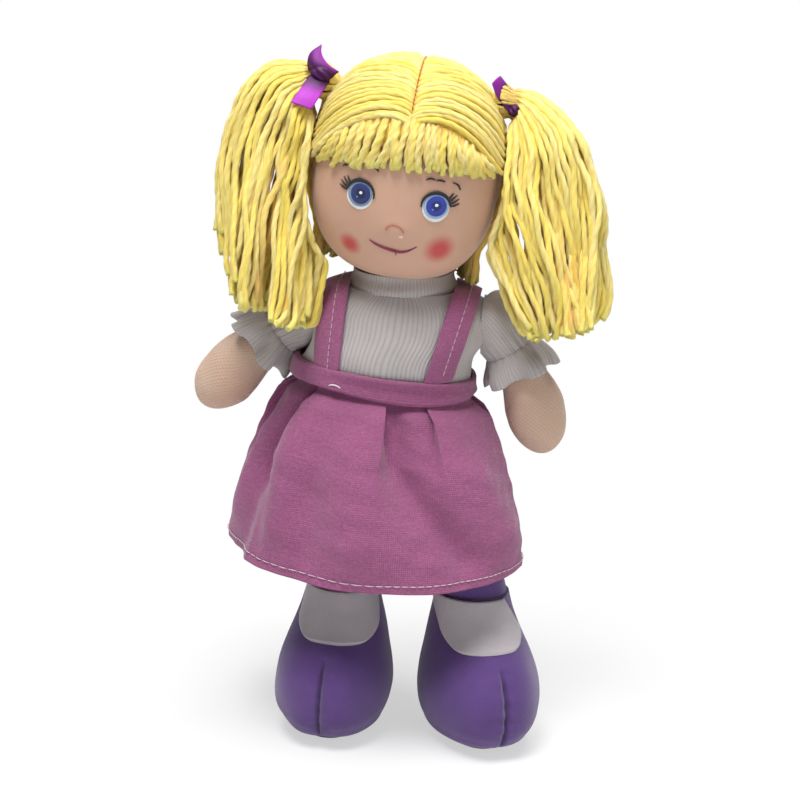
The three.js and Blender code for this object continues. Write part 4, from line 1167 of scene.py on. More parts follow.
@dataclass
class RibbedShirt:
    """White rib-knit shirt with a mock turtleneck, cap sleeves and their ruffles."""

    rib_rise: float = 0.35
    columns_for_rib: int = 6
    body_ribs: int = 132
    collar_ribs: int = 92
    sleeve_ribs: int = 56
    ruffle_ribs: int = 72
    thickness: float = 1.2
    collar_radius: float = 25.6
    collar_width: float = 3.4
    collar_height: float = 11.0
    sleeve_height: float = 29.0
    sleeve_depth: float = 38.0
    cuff_width: float = 28.0
    puff_share: float = 0.12
    ruffle_length: float = 14.0
    ruffle_flare: float = 6.2
    ruffle_waves: int = 6

    def ribs(self, ribs: int) -> tuple[Array, Array]:
        """Angles round a piece and the ribs' height there, the root of the absolute sine of half the rib angle."""
        angle = round_angles(ribs * self.columns_for_rib)
        return angle, np.abs(np.sin(angle * ribs / 2)) ** 0.6

    def build(self, knit: Material) -> None:
        """Makes the body, collar, sleeves and ruffles.

        Args:
            knit: Finish of all the pieces.
        """
        self.build_body(knit)
        self.build_collar(knit)
        for sizes in BOTH_SIDES:
            self.build_sleeve(sizes, knit)
            self.build_ruffle(sizes, knit)

    def build_body(self, knit: Material) -> None:
        """The body follows the torso up to the shoulders, then turns in over them to the collar.

        Args:
            knit: Its finish.
        """
        angle, rib = self.ribs(self.body_ribs)
        lift = SEAM_GAP + CLOTH - self.rib_rise
        up = np.concatenate([shares(26), np.ones(7)])[:, None]
        inwards = np.concatenate([np.zeros(26), shares(8)[1:]])[:, None]
        z = mix(HIP_HEIGHT + WAIST_HEIGHT - 8.0, NECK_SEAT, up)
        swell = 0.5 * ripples(on_circle(40, angle, z), 26, 5)
        wall = TORSO.around(angle[None, :], z, lift + rib[None, :] * self.rib_rise + swell * (1 - up**8) * 0.6)
        seat = on_circle(self.collar_radius, angle, NECK_SEAT + 0.2)
        wall = mix(wall, seat[None], inwards[..., None])
        wall[..., 2] += 1.2 * np.sin(np.pi * np.sqrt(inwards))
        wall = TORSO.beside_arms(wall)
        shirt = add_piece("rib_shirt", [Patch(wall, values={"rib": rib})], knit, "torso", "shirt",
                          self.thickness)

    def build_collar(self, knit: Material) -> None:
        """The turtleneck is a folded band: its section goes up the outside, over a round top and down inside.

        Args:
            knit: Its finish.
        """
        angle, rib = self.ribs(self.collar_ribs)
        path = np.array([(1.0, 0.0), (0.92, 0.25), (0.8, 0.5), (0.68, 0.75), (0.5, 0.95), (0.28, 1.0), (0.1, 0.9),
                         (0.06, 0.6)])
        steps = through(np.concatenate([path, np.zeros((len(path), 1))], -1), 26)
        out, up = steps[:, 0:1], steps[:, 1:2]
        fold = 0.7 * np.sin(up * np.pi * 2 + 0.8 * np.sin(2 * angle))
        radius = self.collar_radius + out * self.collar_width + (rib - 1) * self.rib_rise * 0.8 + fold
        slump = 0.6 * ripples(on_circle(20, angle, 0.0), 24, 8)
        tall = self.collar_height * (1 + 0.1 * np.sin(angle)) + slump
        height = NECK_SEAT + SEAM_GAP + up * tall[None, :]
        band = on_circle(radius, angle, height)
        collar = add_piece("rib_collar", [Patch(band, values={"rib": rib})], knit, "torso", "collar", 0.5)

    def build_sleeve(self, sizes: SideSizes, knit: Material) -> None:
        """A cap sleeve, level at the shoulder seam and square to the arm at its cuff, with cosine puckers at both.

        Args:
            sizes: The side's.
            knit: Its finish.
        """
        sign, word = sizes.side.value, sizes.side.word
        path = ArmPath(sizes)
        angle, rib = self.ribs(self.sleeve_ribs)
        share = shares(40)[:, None]
        arm_place, outward, _ = path.at(share[:, 0] * SLEEVE_LENGTH / ARM_LENGTH)
        seam = path.at(0.0)[0] - np.array([sign * 2.5, 0, 0])
        middle = mix(seam, arm_place, share)
        lean = unit(mix(UP, outward, share))
        puff = 1 + self.puff_share * np.sin(share * np.pi)
        at_seam, at_cuff = hump(share, 0.12, 0.2), hump(share, 1.0, 0.22)
        pucker = at_seam * 0.5 * np.cos(17 * angle + 1.0) + at_cuff * np.cos(21 * angle)
        crumple = 1.1 * np.sin(share * np.pi) * ripples(on_circle(16, angle, 26 * share), 15, 20 + sign)
        half_height = mix(self.sleeve_height, self.cuff_width, share) / 2 * puff
        half_depth = mix(self.sleeve_depth, self.cuff_width, share) / 2 * puff
        grow = pucker * 0.5 - 0.3 + 1.2 * hump(share, 0, 0.1) + crumple + (rib - 1) * self.rib_rise * 0.8
        u, v = superellipse(angle, 2.1)
        grow = grow - (3.5 + sizes.shoulder_rise) * (1 - ease(0, 0.45, share)) * np.clip(u, 0, 1) ** 1.5
        wall = oval_rings(middle[:, None], lean, (half_height + grow) * u, (half_depth + grow) * v)
        wall[..., 0] = sign * np.maximum(sign * wall[..., 0], SHOULDER_HALF_WIDTH - 1.4)
        sleeve = mesh_piece(f"cap_sleeve_{word}", [Patch(wall, values={"rib": rib})], knit)
        thicken(sleeve, 0.9)
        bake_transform(sleeve)
        named(sleeve, f"sleeve_{word}")

    def build_ruffle(self, sizes: SideSizes, knit: Material) -> None:
        """The sleeve's free edge below the elastic: its radius waves more and more towards the edge.

        The columns stray sideways by the sine of twice the wave's phase, which rounds the waves' tops, and the
        flare levels off.

        Args:
            sizes: The side's.
            knit: Its finish.
        """
        word = sizes.side.word
        angle, rib = self.ribs(self.ruffle_ribs)
        share = shares(30)[:, None]
        phase = self.ruffle_waves * angle + 1.1 * np.sin(2 * angle + 1) + 0.6 * np.sin(3 * angle) + sizes.side.value
        wave = np.cos(phase)
        spread = (1 - (1 - share) ** 2) * self.ruffle_flare + share * 3.2 * wave
        gather = hump(share, 0.0, 0.2) * 0.8 * np.cos(21 * angle)
        radius = self.cuff_width / 2 - 0.2 + spread + gather + (rib - 1) * self.rib_rise * 0.7
        crumple = on_circle(16, angle, 16 * share)
        radius = radius + share * 1.2 * ripples(crumple, 20, 25 + sizes.side.value) - (1 - ease(0, 0.12, share))
        along = share * (self.ruffle_length + 1.6) * (1 + 0.05 * wave * share) - 1.6
        along = along + 0.8 * share * ripples(crumple, 24, 28)
        around = angle + 0.07 * share * np.sin(2 * phase)
        turn = ArmPath(sizes).at((SLEEVE_LENGTH + along.mean(1)) / ARM_LENGTH)
        middle = turn[0][:, None] + turn[2][:, None] * (along - along.mean(1, keepdims=True))[..., None]
        wall = oval_rings(middle, turn[1], radius * np.cos(around), radius * np.sin(around))
        ruffle = add_piece(f"ruffle_{word}", [Patch(wall, values={"rib": rib})], knit, f"arm_{word}",
                           f"sleeve_ruffle_{word}", 0.8)


@dataclass
class Pinafore:
    """Mauve linen waistband, two straps and a pleated skirt, with their pale stitching."""

    band_half: float = 5.2
    strap_width: float = 15.0
    strap_thickness: float = 1.4
    strap_top_half_spacing: float = 35.0
    strap_foot_half_spacing: float = 30.0
    skirt_length: float = 93.5
    hem_width: float = 160.0
    hem_depth: float = 122.0
    hem_forward: float = 6.0
    hem_dip: float = 9.0
    hem_lift_right: float = 3.0
    flare_power: float = 1.75
    skirt_power: float = 2.15
    waist_round: float = 300.0
    skirt_columns: int = 480
    hem_stitches: int = 118
    strap_stitches: int = 34
    under_band: float = 0.06
    # Place of a pleat's edge as a share of a turn from the front towards the doll's left, the side it drops to,
    # its depth in millimetres and how much of a turn it strays by at the hem
    pleats: tuple[tuple[float, int, float, float], ...] = (
        (0.002, 1, 4.2, 0.0), (0.094, -1, 3.2, 0.0), (0.226, 1, 4.2, 0.0), (0.31, -1, 3.2, 0.0),
        (0.4, 1, 3.4, 0.0), (0.5, -1, 3.4, 0.0), (0.6, 1, 3.4, 0.0), (0.68, -1, 3.2, 0.0), (0.76, 1, 3.0, 0.0),
        (0.893, -1, 7.0, -0.045))
    # Soft valleys of the hanging cloth: depth in millimetres, half width as a share of a turn, and the places
    # that each runs through as pairs of a share of the way down and a share of a turn
    valleys: tuple[tuple[float, float, tuple[tuple[float, float], ...]], ...] = (
        (8.0, 0.026, ((0.12, 0.022), (0.38, 0.022), (0.55, 0.055), (0.85, 0.112))),
        (10.0, 0.026, ((0.1, -0.126), (0.5, -0.165))), (4.0, 0.03, ((0.5, -0.15), (0.9, -0.14))),
        (4.0, 0.026, ((0.5, -0.075), (0.95, -0.05))), (3.6, 0.022, ((0.25, 0.262), (0.9, 0.262))),
        (3.5, 0.03, ((0.3, 0.36), (0.9, 0.37))), (3.5, 0.03, ((0.3, 0.55), (0.9, 0.53))),
        (3.5, 0.03, ((0.3, 0.72), (0.9, 0.72))), (-4.0, 0.026, ((0.3, -0.195), (0.8, -0.2))),
        (-5.0, 0.03, ((0.25, -0.025), (0.85, 0.0))),
        (-5.0, 0.035, ((0.35, 0.14), (0.8, 0.18))), (-4.5, 0.024, ((0.25, -0.1), (0.8, -0.1))))

    def build(self, linen: Material, thread: Material) -> None:
        """Makes the skirt, the waistband and the straps.

        Args:
            linen: Finish of the cloth.
            thread: Finish of the stitches.
        """
        hem = self.build_hem_stitch(thread)
        self.build_skirt(linen)
        self.build_waistband(linen, thread)
        for sizes in BOTH_SIDES:
            self.build_strap(sizes, linen, thread)

    def pleated(self, turn: Array, share: Array) -> tuple[Array, Array]:
        """How far the pleats, which soften downwards, push the cloth out and round, in millimetres.

        The cloth climbs to a pleat's edge by e to the distance over 13, drops over a short way behind it to 0.45
        of the depth inwards, and comes back by e to minus the distance over 7. The climbing side laps over.

        Args:
            turn: Share of a turn.
            share: Share of the way down.

        Returns:
            Outwards and round.
        """
        reach = lap = np.zeros(np.broadcast_shapes(np.shape(turn), np.shape(share)))
        soft = ease(0.12, 0.75, share)
        for place_round, side, depth, _ in self.pleats:
            away = nearest_turn(turn - place_round) * side * self.waist_round
            drop = ease(-0.1, 1.1, away / mix(1.0, 14.0, soft))
            before = np.exp(np.minimum(away, 0) / mix(13.0, 22.0, soft))
            behind = np.exp(-np.maximum(away, 0) / mix(7.0, 18.0, soft))
            fade = 1.35 * depth * (1 - 0.7 * soft)
            reach = reach + fade * (before * (1 - drop) - 0.45 * behind * drop)
            lap = lap + side * 2.8 * (1 - soft) * np.exp(np.minimum(away, 0) / 5.0) * (1 - drop)
        return reach, lap

    def skirt_at(self, turn: Array, share: Array) -> Array:
        """The skirt's outer face, drawn in under the band, with valleys and swellings between the pleats.

        Its half sizes grow from the waist's to the hem's by 1 - (1 - free)^flare, free being the share below the band.

        Args:
            turn: Share of a turn from the front towards the doll's left.
            share: Share of the way from the waistband to the hem.

        Returns:
            Points in the doll's frame.
        """
        on_shirt = ON_SHIRT + LINEN
        free = np.clip(share - self.under_band, 0, 1) / (1 - self.under_band)
        flare = 1 - (1 - free) ** self.flare_power
        reach, lap = self.pleated(turn, share)
        reach = reach * mix(0.35, 1.0, ease(0.05, 0.14, share))
        places = np.array([row[0] for row in self.pleats])
        turn = turn + share * np.interp(turn, places, [row[3] for row in self.pleats], period=1)
        half_width = mix(TORSO.width / 2 + on_shirt, self.hem_width / 2, flare)
        half_depth = mix(TORSO.depth / 2 - 3.0 + on_shirt, self.hem_depth / 2, flare)
        angle = turn * 2 * np.pi
        soft = joined(70 * np.sin(angle), -60 * np.cos(angle), 90 * share)
        reach = reach + 1.7 * ripples(soft, 44, 3) * ease(0.2, 0.9, share) + 0.45 * ripples(soft, 13, 4)
        reach = reach - 3.4 * (1 - ease(0.07, 0.14, share))
        for depth, width, route in self.valleys:
            down, across = np.array(route).T
            off = nearest_turn(turn - np.interp(share, down, across))
            window = ease(down[0] - 0.12, down[0] + 0.08, share) * (1 - ease(down[-1] - 0.08, down[-1] + 0.2, share))
            reach = reach - depth * window * hump(off, 0, width * (0.8 + 0.5 * share))
        angle = angle + lap / (half_width + half_depth) * 2
        u, v = superellipse(angle - np.pi / 2, self.skirt_power)
        x = u * (half_width + reach)
        y = v * (half_depth + reach) - share * self.hem_forward
        tilt = -x * np.tan(WAIST_TILT) * (1 - share)
        dip = self.hem_dip * share * (np.cos(angle) + 1) / 2 - self.hem_lift_right * share * ease(0, 70, -x)
        top = HIP_HEIGHT + WAIST_HEIGHT - self.band_half + 3.4
        return joined(x - WAIST_SHIFT, y, top + tilt - dip - share * self.skirt_length)

    def skirt_turns(self) -> Array:
        """Places of the columns: evenly spaced by a measure that is denser in front and at each pleat's edge.

        Returns:
            Shares of a turn.
        """
        fine = shares(6001)
        measure = 1 + 0.5 * (np.cos(fine * 2 * np.pi) + 1) / 2
        for place_round, side, _, _ in self.pleats:
            away = nearest_turn(fine - place_round) * side * self.waist_round
            measure = measure + 4.5 * hump(away, 0.5, 2.2)
        total = np.concatenate([[0], np.cumsum((measure[1:] + measure[:-1]) / 2)])
        return np.interp(np.arange(self.skirt_columns) / self.skirt_columns * total[-1], total, fine)

    def build_skirt(self, linen: Material) -> None:
        """One wall of cloth from the waistband to the hem, its rows closer towards the hem.

        Args:
            linen: Its finish.
        """
        share = np.concatenate([np.linspace(0, 0.985, 96), [0.994, 1.0]])[:, None]
        wall = self.skirt_at(self.skirt_turns()[None, :], share)
        skirt = mesh_piece("linen_skirt", [Patch(wall)], linen)
        thicken(skirt, 1.1)
        self.follow_hips(skirt)
        named(skirt, "skirt")

    def build_hem_stitch(self, thread: Material) -> Piece:
        """Running stitches a little over the hem: short threads that lie on the skirt's outer face.

        Args:
            thread: Its finish.

        Returns:
            The stitches.
        """
        count = self.hem_stitches
        turn = (np.arange(count)[:, None] + 0.5 + np.linspace(-0.5, 0.5, 7)[None, :] * 0.86) / count
        line = self.skirt_at(turn, np.full_like(turn, 0.955))
        ahead = self.skirt_at(turn + 0.002, np.full_like(turn, 0.955))
        up = self.skirt_at(turn, np.full_like(turn, 0.94)) - line
        out = unit(np.cross(ahead - line, up))
        rise = 0.25 + 0.35 * np.sin(np.linspace(0, np.pi, 7))[None, :, None]
        piece = mesh_piece("hem_stitch", [stitch_patch(line + out * rise, out, 0.32, "CDB4C0")], thread)
        self.follow_hips(piece)
        named(piece, "skirt")
        return piece

    @staticmethod
    def follow_hips(piece: Piece) -> None:
        """Bakes a piece's place into its mesh."""
        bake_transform(piece)

    def band_at(self, angle: Array, up: Array, lift: Array | float) -> Array:
        """Points of the tilted band, whose height follows the waist's slope, found in four rounds.

        Args:
            angle: From +X, in radians.
            up: From the band's middle. What is below it hangs straight.
            lift: How far out of the form, in millimetres.

        Returns:
            Points in the doll's frame.
        """
        level = HIP_HEIGHT + WAIST_HEIGHT + np.maximum(up, 0)
        z = level
        for _ in range(4):
            x = TORSO.around(angle, z, lift)[..., 0]
            z = level - (x + WAIST_SHIFT) * np.tan(WAIST_TILT)
        return TORSO.around(angle, z, lift) + np.minimum(up, 0)[..., None] * UP

    def build_waistband(self, linen: Material, thread: Material) -> None:
        """A folded band whose edges turn in to the shirt, lapped at the doll's right, with one loose stitch.

        Args:
            linen: Its finish.
            thread: Finish of the stitch.
        """
        angle = round_angles(360)
        up = np.array([-1.0, -1.0, -0.95, -0.8, -0.4, 0, 0.4, 0.75, 0.93, 1.0, 1.0]) * self.band_half
        lift = ON_SHIRT + np.array([0.1, 3.0, 3.9, 4.1, 3.7, 3.3, 3.0, 2.8, 2.4, 1.5, 0.1])
        soft = joined(45 * np.cos(angle), 37 * np.sin(angle), 0.0)
        lap = (angle / (2 * np.pi) - 0.6) % 1
        lapped = 1.1 * (1 - ease(0.0, 0.012, lap)) * (lap < 0.5) + 1.1 * (lap > 0.93)
        wave = 0.5 * ripples(soft, 30, 12)
        # The lower edge hangs deeper in front and rises to the doll's left
        turn = (angle / (2 * np.pi) + 0.75) % 1 - 0.5
        deeper = 1 + 0.6 * hump(turn, 0.05, 0.1) - 0.5 * hump(turn, 0.23, 0.05)
        up = np.where(up[:, None] < 0, up[:, None] * deeper[None, :], up[:, None])
        band = self.band_at(angle[None, :], up + 0.5 * wave[None, :],
                            lift[:, None] + (0.4 * wave + lapped)[None, :] * (lift[:, None] > ON_SHIRT + 0.5))
        waist = add_piece("linen_waistband", [Patch(band)], linen, "torso", "waistband", 0.6)
        share = np.linspace(-1, 1, 13)
        turn_round = -np.pi / 2 - 0.42 + share * 0.07
        line = self.band_at(turn_round, -3.2 - 0.9 * share**2 + 0.9, ON_SHIRT + 4.2)[None]
        loop = add_piece("waist_stitch", [stitch_patch(line, -BACKWARDS, 0.5, "E4D4DA")], thread, "torso",
                         "waistband")

    def build_strap(self, sizes: SideSizes, linen: Material, thread: Material) -> None:
        """A strap in a slanting lane, from behind the band over the shoulder and down the back behind the band.

        Args:
            sizes: The side's.
            linen: Its finish.
            thread: Finish of its stitches.
        """
        sign, word = sizes.side.value, sizes.side.word
        foot = HIP_HEIGHT + WAIST_HEIGHT
        spread = (self.strap_top_half_spacing - self.strap_foot_half_spacing) * sign + WAIST_SHIFT
        middle_foot = sign * self.strap_foot_half_spacing - WAIST_SHIFT
        half = self.strap_width / 2
        across = np.array([-1, -0.97, -0.85, -0.6, -0.35, -0.12, 0.12, 0.35, 0.6, 0.85, 0.97, 1]) * half
        angle = np.linspace(np.radians(-20), np.radians(200), 96)

        def lane(offset: Array) -> Callable[[Array], Array]:
            """x for a height, at an offset from the lane's middle."""
            return lambda z: middle_foot + spread * (z - foot) / (NECK_SEAT - foot) + offset

        lift = ON_SHIRT + self.strap_thickness
        angles, offsets = np.meshgrid(angle, across, indexing="ij")
        wall = TORSO.beside_arms(TORSO.reach(lane(offsets), angles, lift))
        edge = (np.abs(across) > half * 0.98)[None, :, None]
        heart = UP * TORSO.heart_height
        wall = np.where(edge, wall - unit(wall - heart) * 0.5, wall)
        wall = wall + unit(wall - heart) * (0.3 * ripples(wall, 22, 17 + sign))[..., None]
        strap = add_piece(f"linen_strap_{word}", [Patch(wall, wraps=False)], linen, "torso", f"strap_{word}",
                          self.strap_thickness - 0.3)
        count = self.strap_stitches
        part = (np.arange(count)[:, None] + 0.5 + np.linspace(-0.5, 0.5, 7)[None, :] * 0.8) / count
        seam = TORSO.reach(lane(np.full(part.shape, 1.3)), np.radians(-12 + part * 204), lift + 0.3)
        out = unit(seam - heart)
        stitches = add_piece(f"strap_stitch_{word}", [stitch_patch(seam, out, 0.3, "C4A9B6")], thread, "torso",
                             f"strap_{word}")


@dataclass
class KnitArm:
    """A stuffed mitten arm with no fingers, pinched at the shoulder and fullest at the hand."""

    sizes: SideSizes
    width: float = 33.0
    depth: float = 26.0
    columns: int = 88
    rows_down: int = 120
    rows: tuple[tuple[float, ...], ...] = (
        (0, 0.05, 0.8), (0.2, 0.6, 0.76), (0.32, 0.66, 0.82), (0.48, 0.8, 0.92), (0.68, 1, 1), (0.84, 0.94, 0.94),
        (1, 0.8, 0.8))

    def build(self, knit: Material) -> None:
        """Rings square to the arm's path, with a seam down both edges and puckers that fade from the shoulder.

        Over the last quarter both sizes shrink as the root of one less a power of the way through it.

        Args:
            knit: Its finish.
        """
        sign, word = self.sizes.side.value, self.sizes.side.word
        angle = round_angles(self.columns)
        share = 1 - (1 - np.linspace(0.004, 0.9995, self.rows_down)) ** 1.6
        middle, outward, _ = ArmPath(self.sizes).at(share)
        width, depth = np.moveaxis(read_table(self.rows, share), -1, 0)
        rounded = np.sqrt(1 - np.clip((share - 0.76) / 0.24, 0, 1) ** 2.3)[:, None]
        u, v = superellipse(angle, 2.1)
        round_place = joined(15 * u, 12 * v, ARM_LENGTH * share[:, None])
        soft = 0.5 * ripples(round_place, 24, 30 + sign) + 0.12 * ripples(round_place, 9, 33)
        seam = -0.7 * (hump(angle, 0, 0.07) + hump(angle, 2 * np.pi, 0.07) + hump(angle, np.pi, 0.07))[None, :]
        grow = (soft + seam) * ease(0, 0.25, share)[:, None] * (1 - ease(0.8, 0.97, share))[:, None] - 0.1 * rounded
        half_width = (width * self.width / 2)[:, None] * rounded
        half_depth = (depth * self.depth / 2)[:, None] * rounded
        wall = oval_rings(middle[:, None], outward, (half_width + grow) * u, (half_depth + grow) * v)
        wall[..., 0] = sign * np.maximum(sign * wall[..., 0], SHOULDER_HALF_WIDTH + SEAM_GAP + 0.05)
        add_stuffed(f"knit_arm_{word}", wall, knit, f"arm_{word}", f"arm_{word}")


@dataclass
class Leg:
    """A stuffed leg that ends in a shoe with a pale instep and a dart over the toe."""

    sizes: SideSizes
    hip_spacing: float = 41.0
    shoe_height: float = 82.0
    leg_width: float = 42.0
    leg_depth: float = 40.0
    shoe_width: float = 65.0
    toe_reach: float = 58.0
    heel_reach: float = 24.0
    sole_thickness: float = 3.0
    instep_half_width: float = 20.5
    instep_height: float = 25.0
    instep_corner: float = 9.0
    leg_rows: tuple[tuple[float, ...], ...] = (
        (0, 0.8, 0.02), (0.06, 0.84, 0.08), (0.15, 0.9, 0.4), (0.31, 1, 0.82), (0.55, 1, 1), (0.8, 0.95, 0.98),
        (1, 0.93, 0.96))
    shoe_rows: tuple[tuple[float, ...], ...] = (
        (0, 0.6, 0.71, 0.62), (0.035, 0.76, 0.83, 0.78), (0.12, 0.9, 0.95, 0.92), (0.28, 1, 1, 1),
        (0.44, 0.985, 0.95, 1), (0.6, 0.89, 0.79, 0.96), (0.73, 0.8, 0.59, 0.92), (0.86, 0.71, 0.45, 0.88),
        (1, 0.63, 0.36, 0.83))

    def build(self, purple: Material, knit: Material) -> None:
        """Makes the leg, shoe, sole and instep.

        Args:
            purple: Finish of leg and shoe.
            knit: Finish of the instep.
        """
        self.build_leg(purple)
        self.build_shoe(purple)
        self.build_instep(knit)

    def to_doll(self, points: Array) -> Array:
        """From the foot's own frame, straight ahead under the ankle, to the doll's.

        Args:
            points: In the foot's own frame.

        Returns:
            Points in the doll's frame.
        """
        sign = self.sizes.side.value
        ankle = sign * self.hip_spacing / 2 + self.sizes.hip_to_ankle
        return turned(points, sign * self.sizes.toe_out) + np.array([ankle, 0, 0])

    def build_leg(self, purple: Material) -> None:
        """Level rings from the flat seam at the hip down to the ankle, with soft unevenness.

        Args:
            purple: Its finish.
        """
        sign, word = self.sizes.side.value, self.sizes.side.word
        angle = round_angles(72)
        share = np.linspace(0.006, 1, 60)
        width, depth = np.moveaxis(read_table(self.leg_rows, share), -1, 0)
        u, v = superellipse(angle, 2.1)
        soft = 0.5 * ripples(joined(20 * u, 20 * v, 90 * share[:, None]), 26, 40 + sign)
        soft = soft * np.sin(np.pi * share)[:, None]
        half_width, half_depth = (width * self.leg_width / 2)[:, None], (depth * self.leg_depth / 2)[:, None]
        x = sign * self.hip_spacing / 2 + share[:, None] * self.sizes.hip_to_ankle + u * (half_width + soft)
        z = mix(HIP_HEIGHT, self.shoe_height + SEAM_GAP, share[:, None])
        wall = joined(x, v * np.maximum(half_depth + soft, 0.4), z)
        add_stuffed(f"stuffed_leg_{word}", wall, purple, f"leg_{word}", f"leg_{word}")

    def shoe_at(self, angle: Array, share: Array, grow: Array | float) -> Array:
        """A point of the shoe, in the foot's frame, at an angle from +X and a share of its height.

        Args:
            angle: From +X, in radians.
            share: Of the shoe's height.
            grow: How far out of the form, in millimetres.

        Returns:
            Points in the foot's frame.
        """
        width, toe, heel = np.moveaxis(read_table(self.shoe_rows, share), -1, 0)
        front, back = toe * self.toe_reach + grow, heel * self.heel_reach + grow
        u, v = superellipse(angle, 2.15)
        y = (back - front) / 2 + v * (front + back) / 2
        foot = self.sole_thickness + SEAM_GAP
        z = foot + share * (self.shoe_height - foot)
        return joined(u * (width * self.shoe_width / 2 + grow), y, z)

    def dart(self, angle: Array, share: Array) -> Array:
        """1 in the middle of the seam down the front, 0 off it and behind the instep."""
        off = np.abs(angle - 1.5 * np.pi)
        return hump(off, 0, 0.04) * (1 - ease(0.5, 0.62, share)) * ease(0.0, 0.12, share)

    def stuffing(self, angle: Array, share: Array) -> Array:
        """How far the stuffing pushes the shoe out: ripples, a groove down the front with puckers, and a heel seam.

        Args:
            angle: From +X, in radians.
            share: Of the shoe's height.

        Returns:
            Millimetres outwards.
        """
        u, v = np.cos(angle), np.sin(angle)
        soft = 0.8 * ripples(joined(32 * u, 40 * v, 80 * share), 34, 50 + self.sizes.side.value)
        off = np.abs(angle - 1.5 * np.pi)
        below_panel = (1 - ease(0.56, 0.64, share)) * ease(0.02, 0.2, share)
        pucker = (0.45 * np.cos(share * 60) - 1) * hump(off, 0.0, 0.17) * below_panel
        heel_seam = -0.9 * hump(np.abs(angle - 0.5 * np.pi), 0, 0.08)
        return soft - 2.3 * self.dart(angle, share) + pucker + heel_seam

    def build_shoe(self, purple: Material) -> None:
        """The shoe's rings, four times as close at the dart as elsewhere, and the sole with a rolled edge.

        Args:
            purple: Finish of shoe and sole.
        """
        word = self.sizes.side.word
        even = np.linspace(-np.pi, np.pi, 180, endpoint=False)[None, :]
        angle = (1.5 * np.pi + even - 0.75 * np.sin(even)) % (2 * np.pi)
        share = (1 - np.cos(shares(90) * np.pi * 0.75)) / (1 - np.cos(np.pi * 0.75))
        share = share[:, None]
        wall = self.shoe_at(angle, share, self.stuffing(angle, share) - 0.2)
        # The seam attribute carries painted shade into the dart's groove
        add_stuffed(f"stuffed_shoe_{word}", self.to_doll(wall), purple, f"leg_{word}", f"shoe_{word}",
                    {"seam": self.dart(angle, share)})
        rise = np.array([0, 0.02, 0.12, 0.35, 0.7, 1.0])[:, None] * self.sole_thickness
        draw = np.array([-7.0, -5.0, -4.2, -3.6, -3.4, -3.4])[:, None]
        rim = self.shoe_at(angle, np.zeros_like(rise), draw)
        rim[..., 2] = rise
        add_stuffed(f"cloth_sole_{word}", self.to_doll(rim), purple, f"leg_{word}", f"sole_{word}")

    def build_instep(self, knit: Material) -> None:
        """The pale panel: in front view a rectangle with round lower corners, laid on the shoe.

        Args:
            knit: Its finish.
        """
        word = self.sizes.side.word
        across = np.linspace(-1, 1, 120)[None, :]
        down = (1 - (1 - shares(66)) ** 1.5)[:, None]
        x, share = self.outline(across, down)
        puff = 0.5 + np.sqrt(1 - np.abs(across) ** 12) * ease(0, 0.06, 1 - down) * ease(0, 0.04, down + 0.02)
        wall = self.laid_on_shoe(x, share, puff)
        panel = add_piece(f"instep_panel_{word}", [Patch(self.to_doll(wall), wraps=False, values={"rib": 1.0})], knit,
                          f"leg_{word}", f"instep_{word}", 0.8)

    def outline(self, across: Array, down: Array) -> tuple[Array, Array]:
        """x and share of the shoe's height in the panel, at a share of its half width and of its height.

        Args:
            across: From -1 to 1.
            down: From 0 at the top to 1.

        Returns:
            x and the share.
        """
        below = np.clip(down * self.instep_height - (self.instep_height - self.instep_corner), 0, self.instep_corner)
        half = self.instep_half_width - self.instep_corner + np.sqrt(self.instep_corner**2 - below**2)
        low = self.shoe_height - self.instep_height * down
        share = (low - self.sole_thickness - SEAM_GAP) / (self.shoe_height - self.sole_thickness - SEAM_GAP)
        top, foot = self.sizes.instep_middles
        half = half * (1 + 0.16 * down)
        return np.broadcast_arrays(half * across + mix(top, foot, down), share)

    def laid_on_shoe(self, x: Array, share: Array, grow: Array | float) -> Array:
        """Points of the shoe's front at a distance x from the ankle, as seen from ahead, by twelve corrections.

        Args:
            x: To the doll's left of the ankle.
            share: Of the shoe's height.
            grow: How far out of the form, in millimetres.

        Returns:
            Points in the foot's frame.
        """
        angle = -np.pi / 2 + x / 40
        turn = VIEW_AZIMUTH - self.sizes.side.value * self.sizes.toe_out
        for _ in range(12):
            point = turned(self.shoe_at(angle, share, grow), -turn)
            angle = angle + (x - point[..., 0]) / 42
        return self.shoe_at(angle, share, grow + self.stuffing(angle % (2 * np.pi), share) * 0.8)


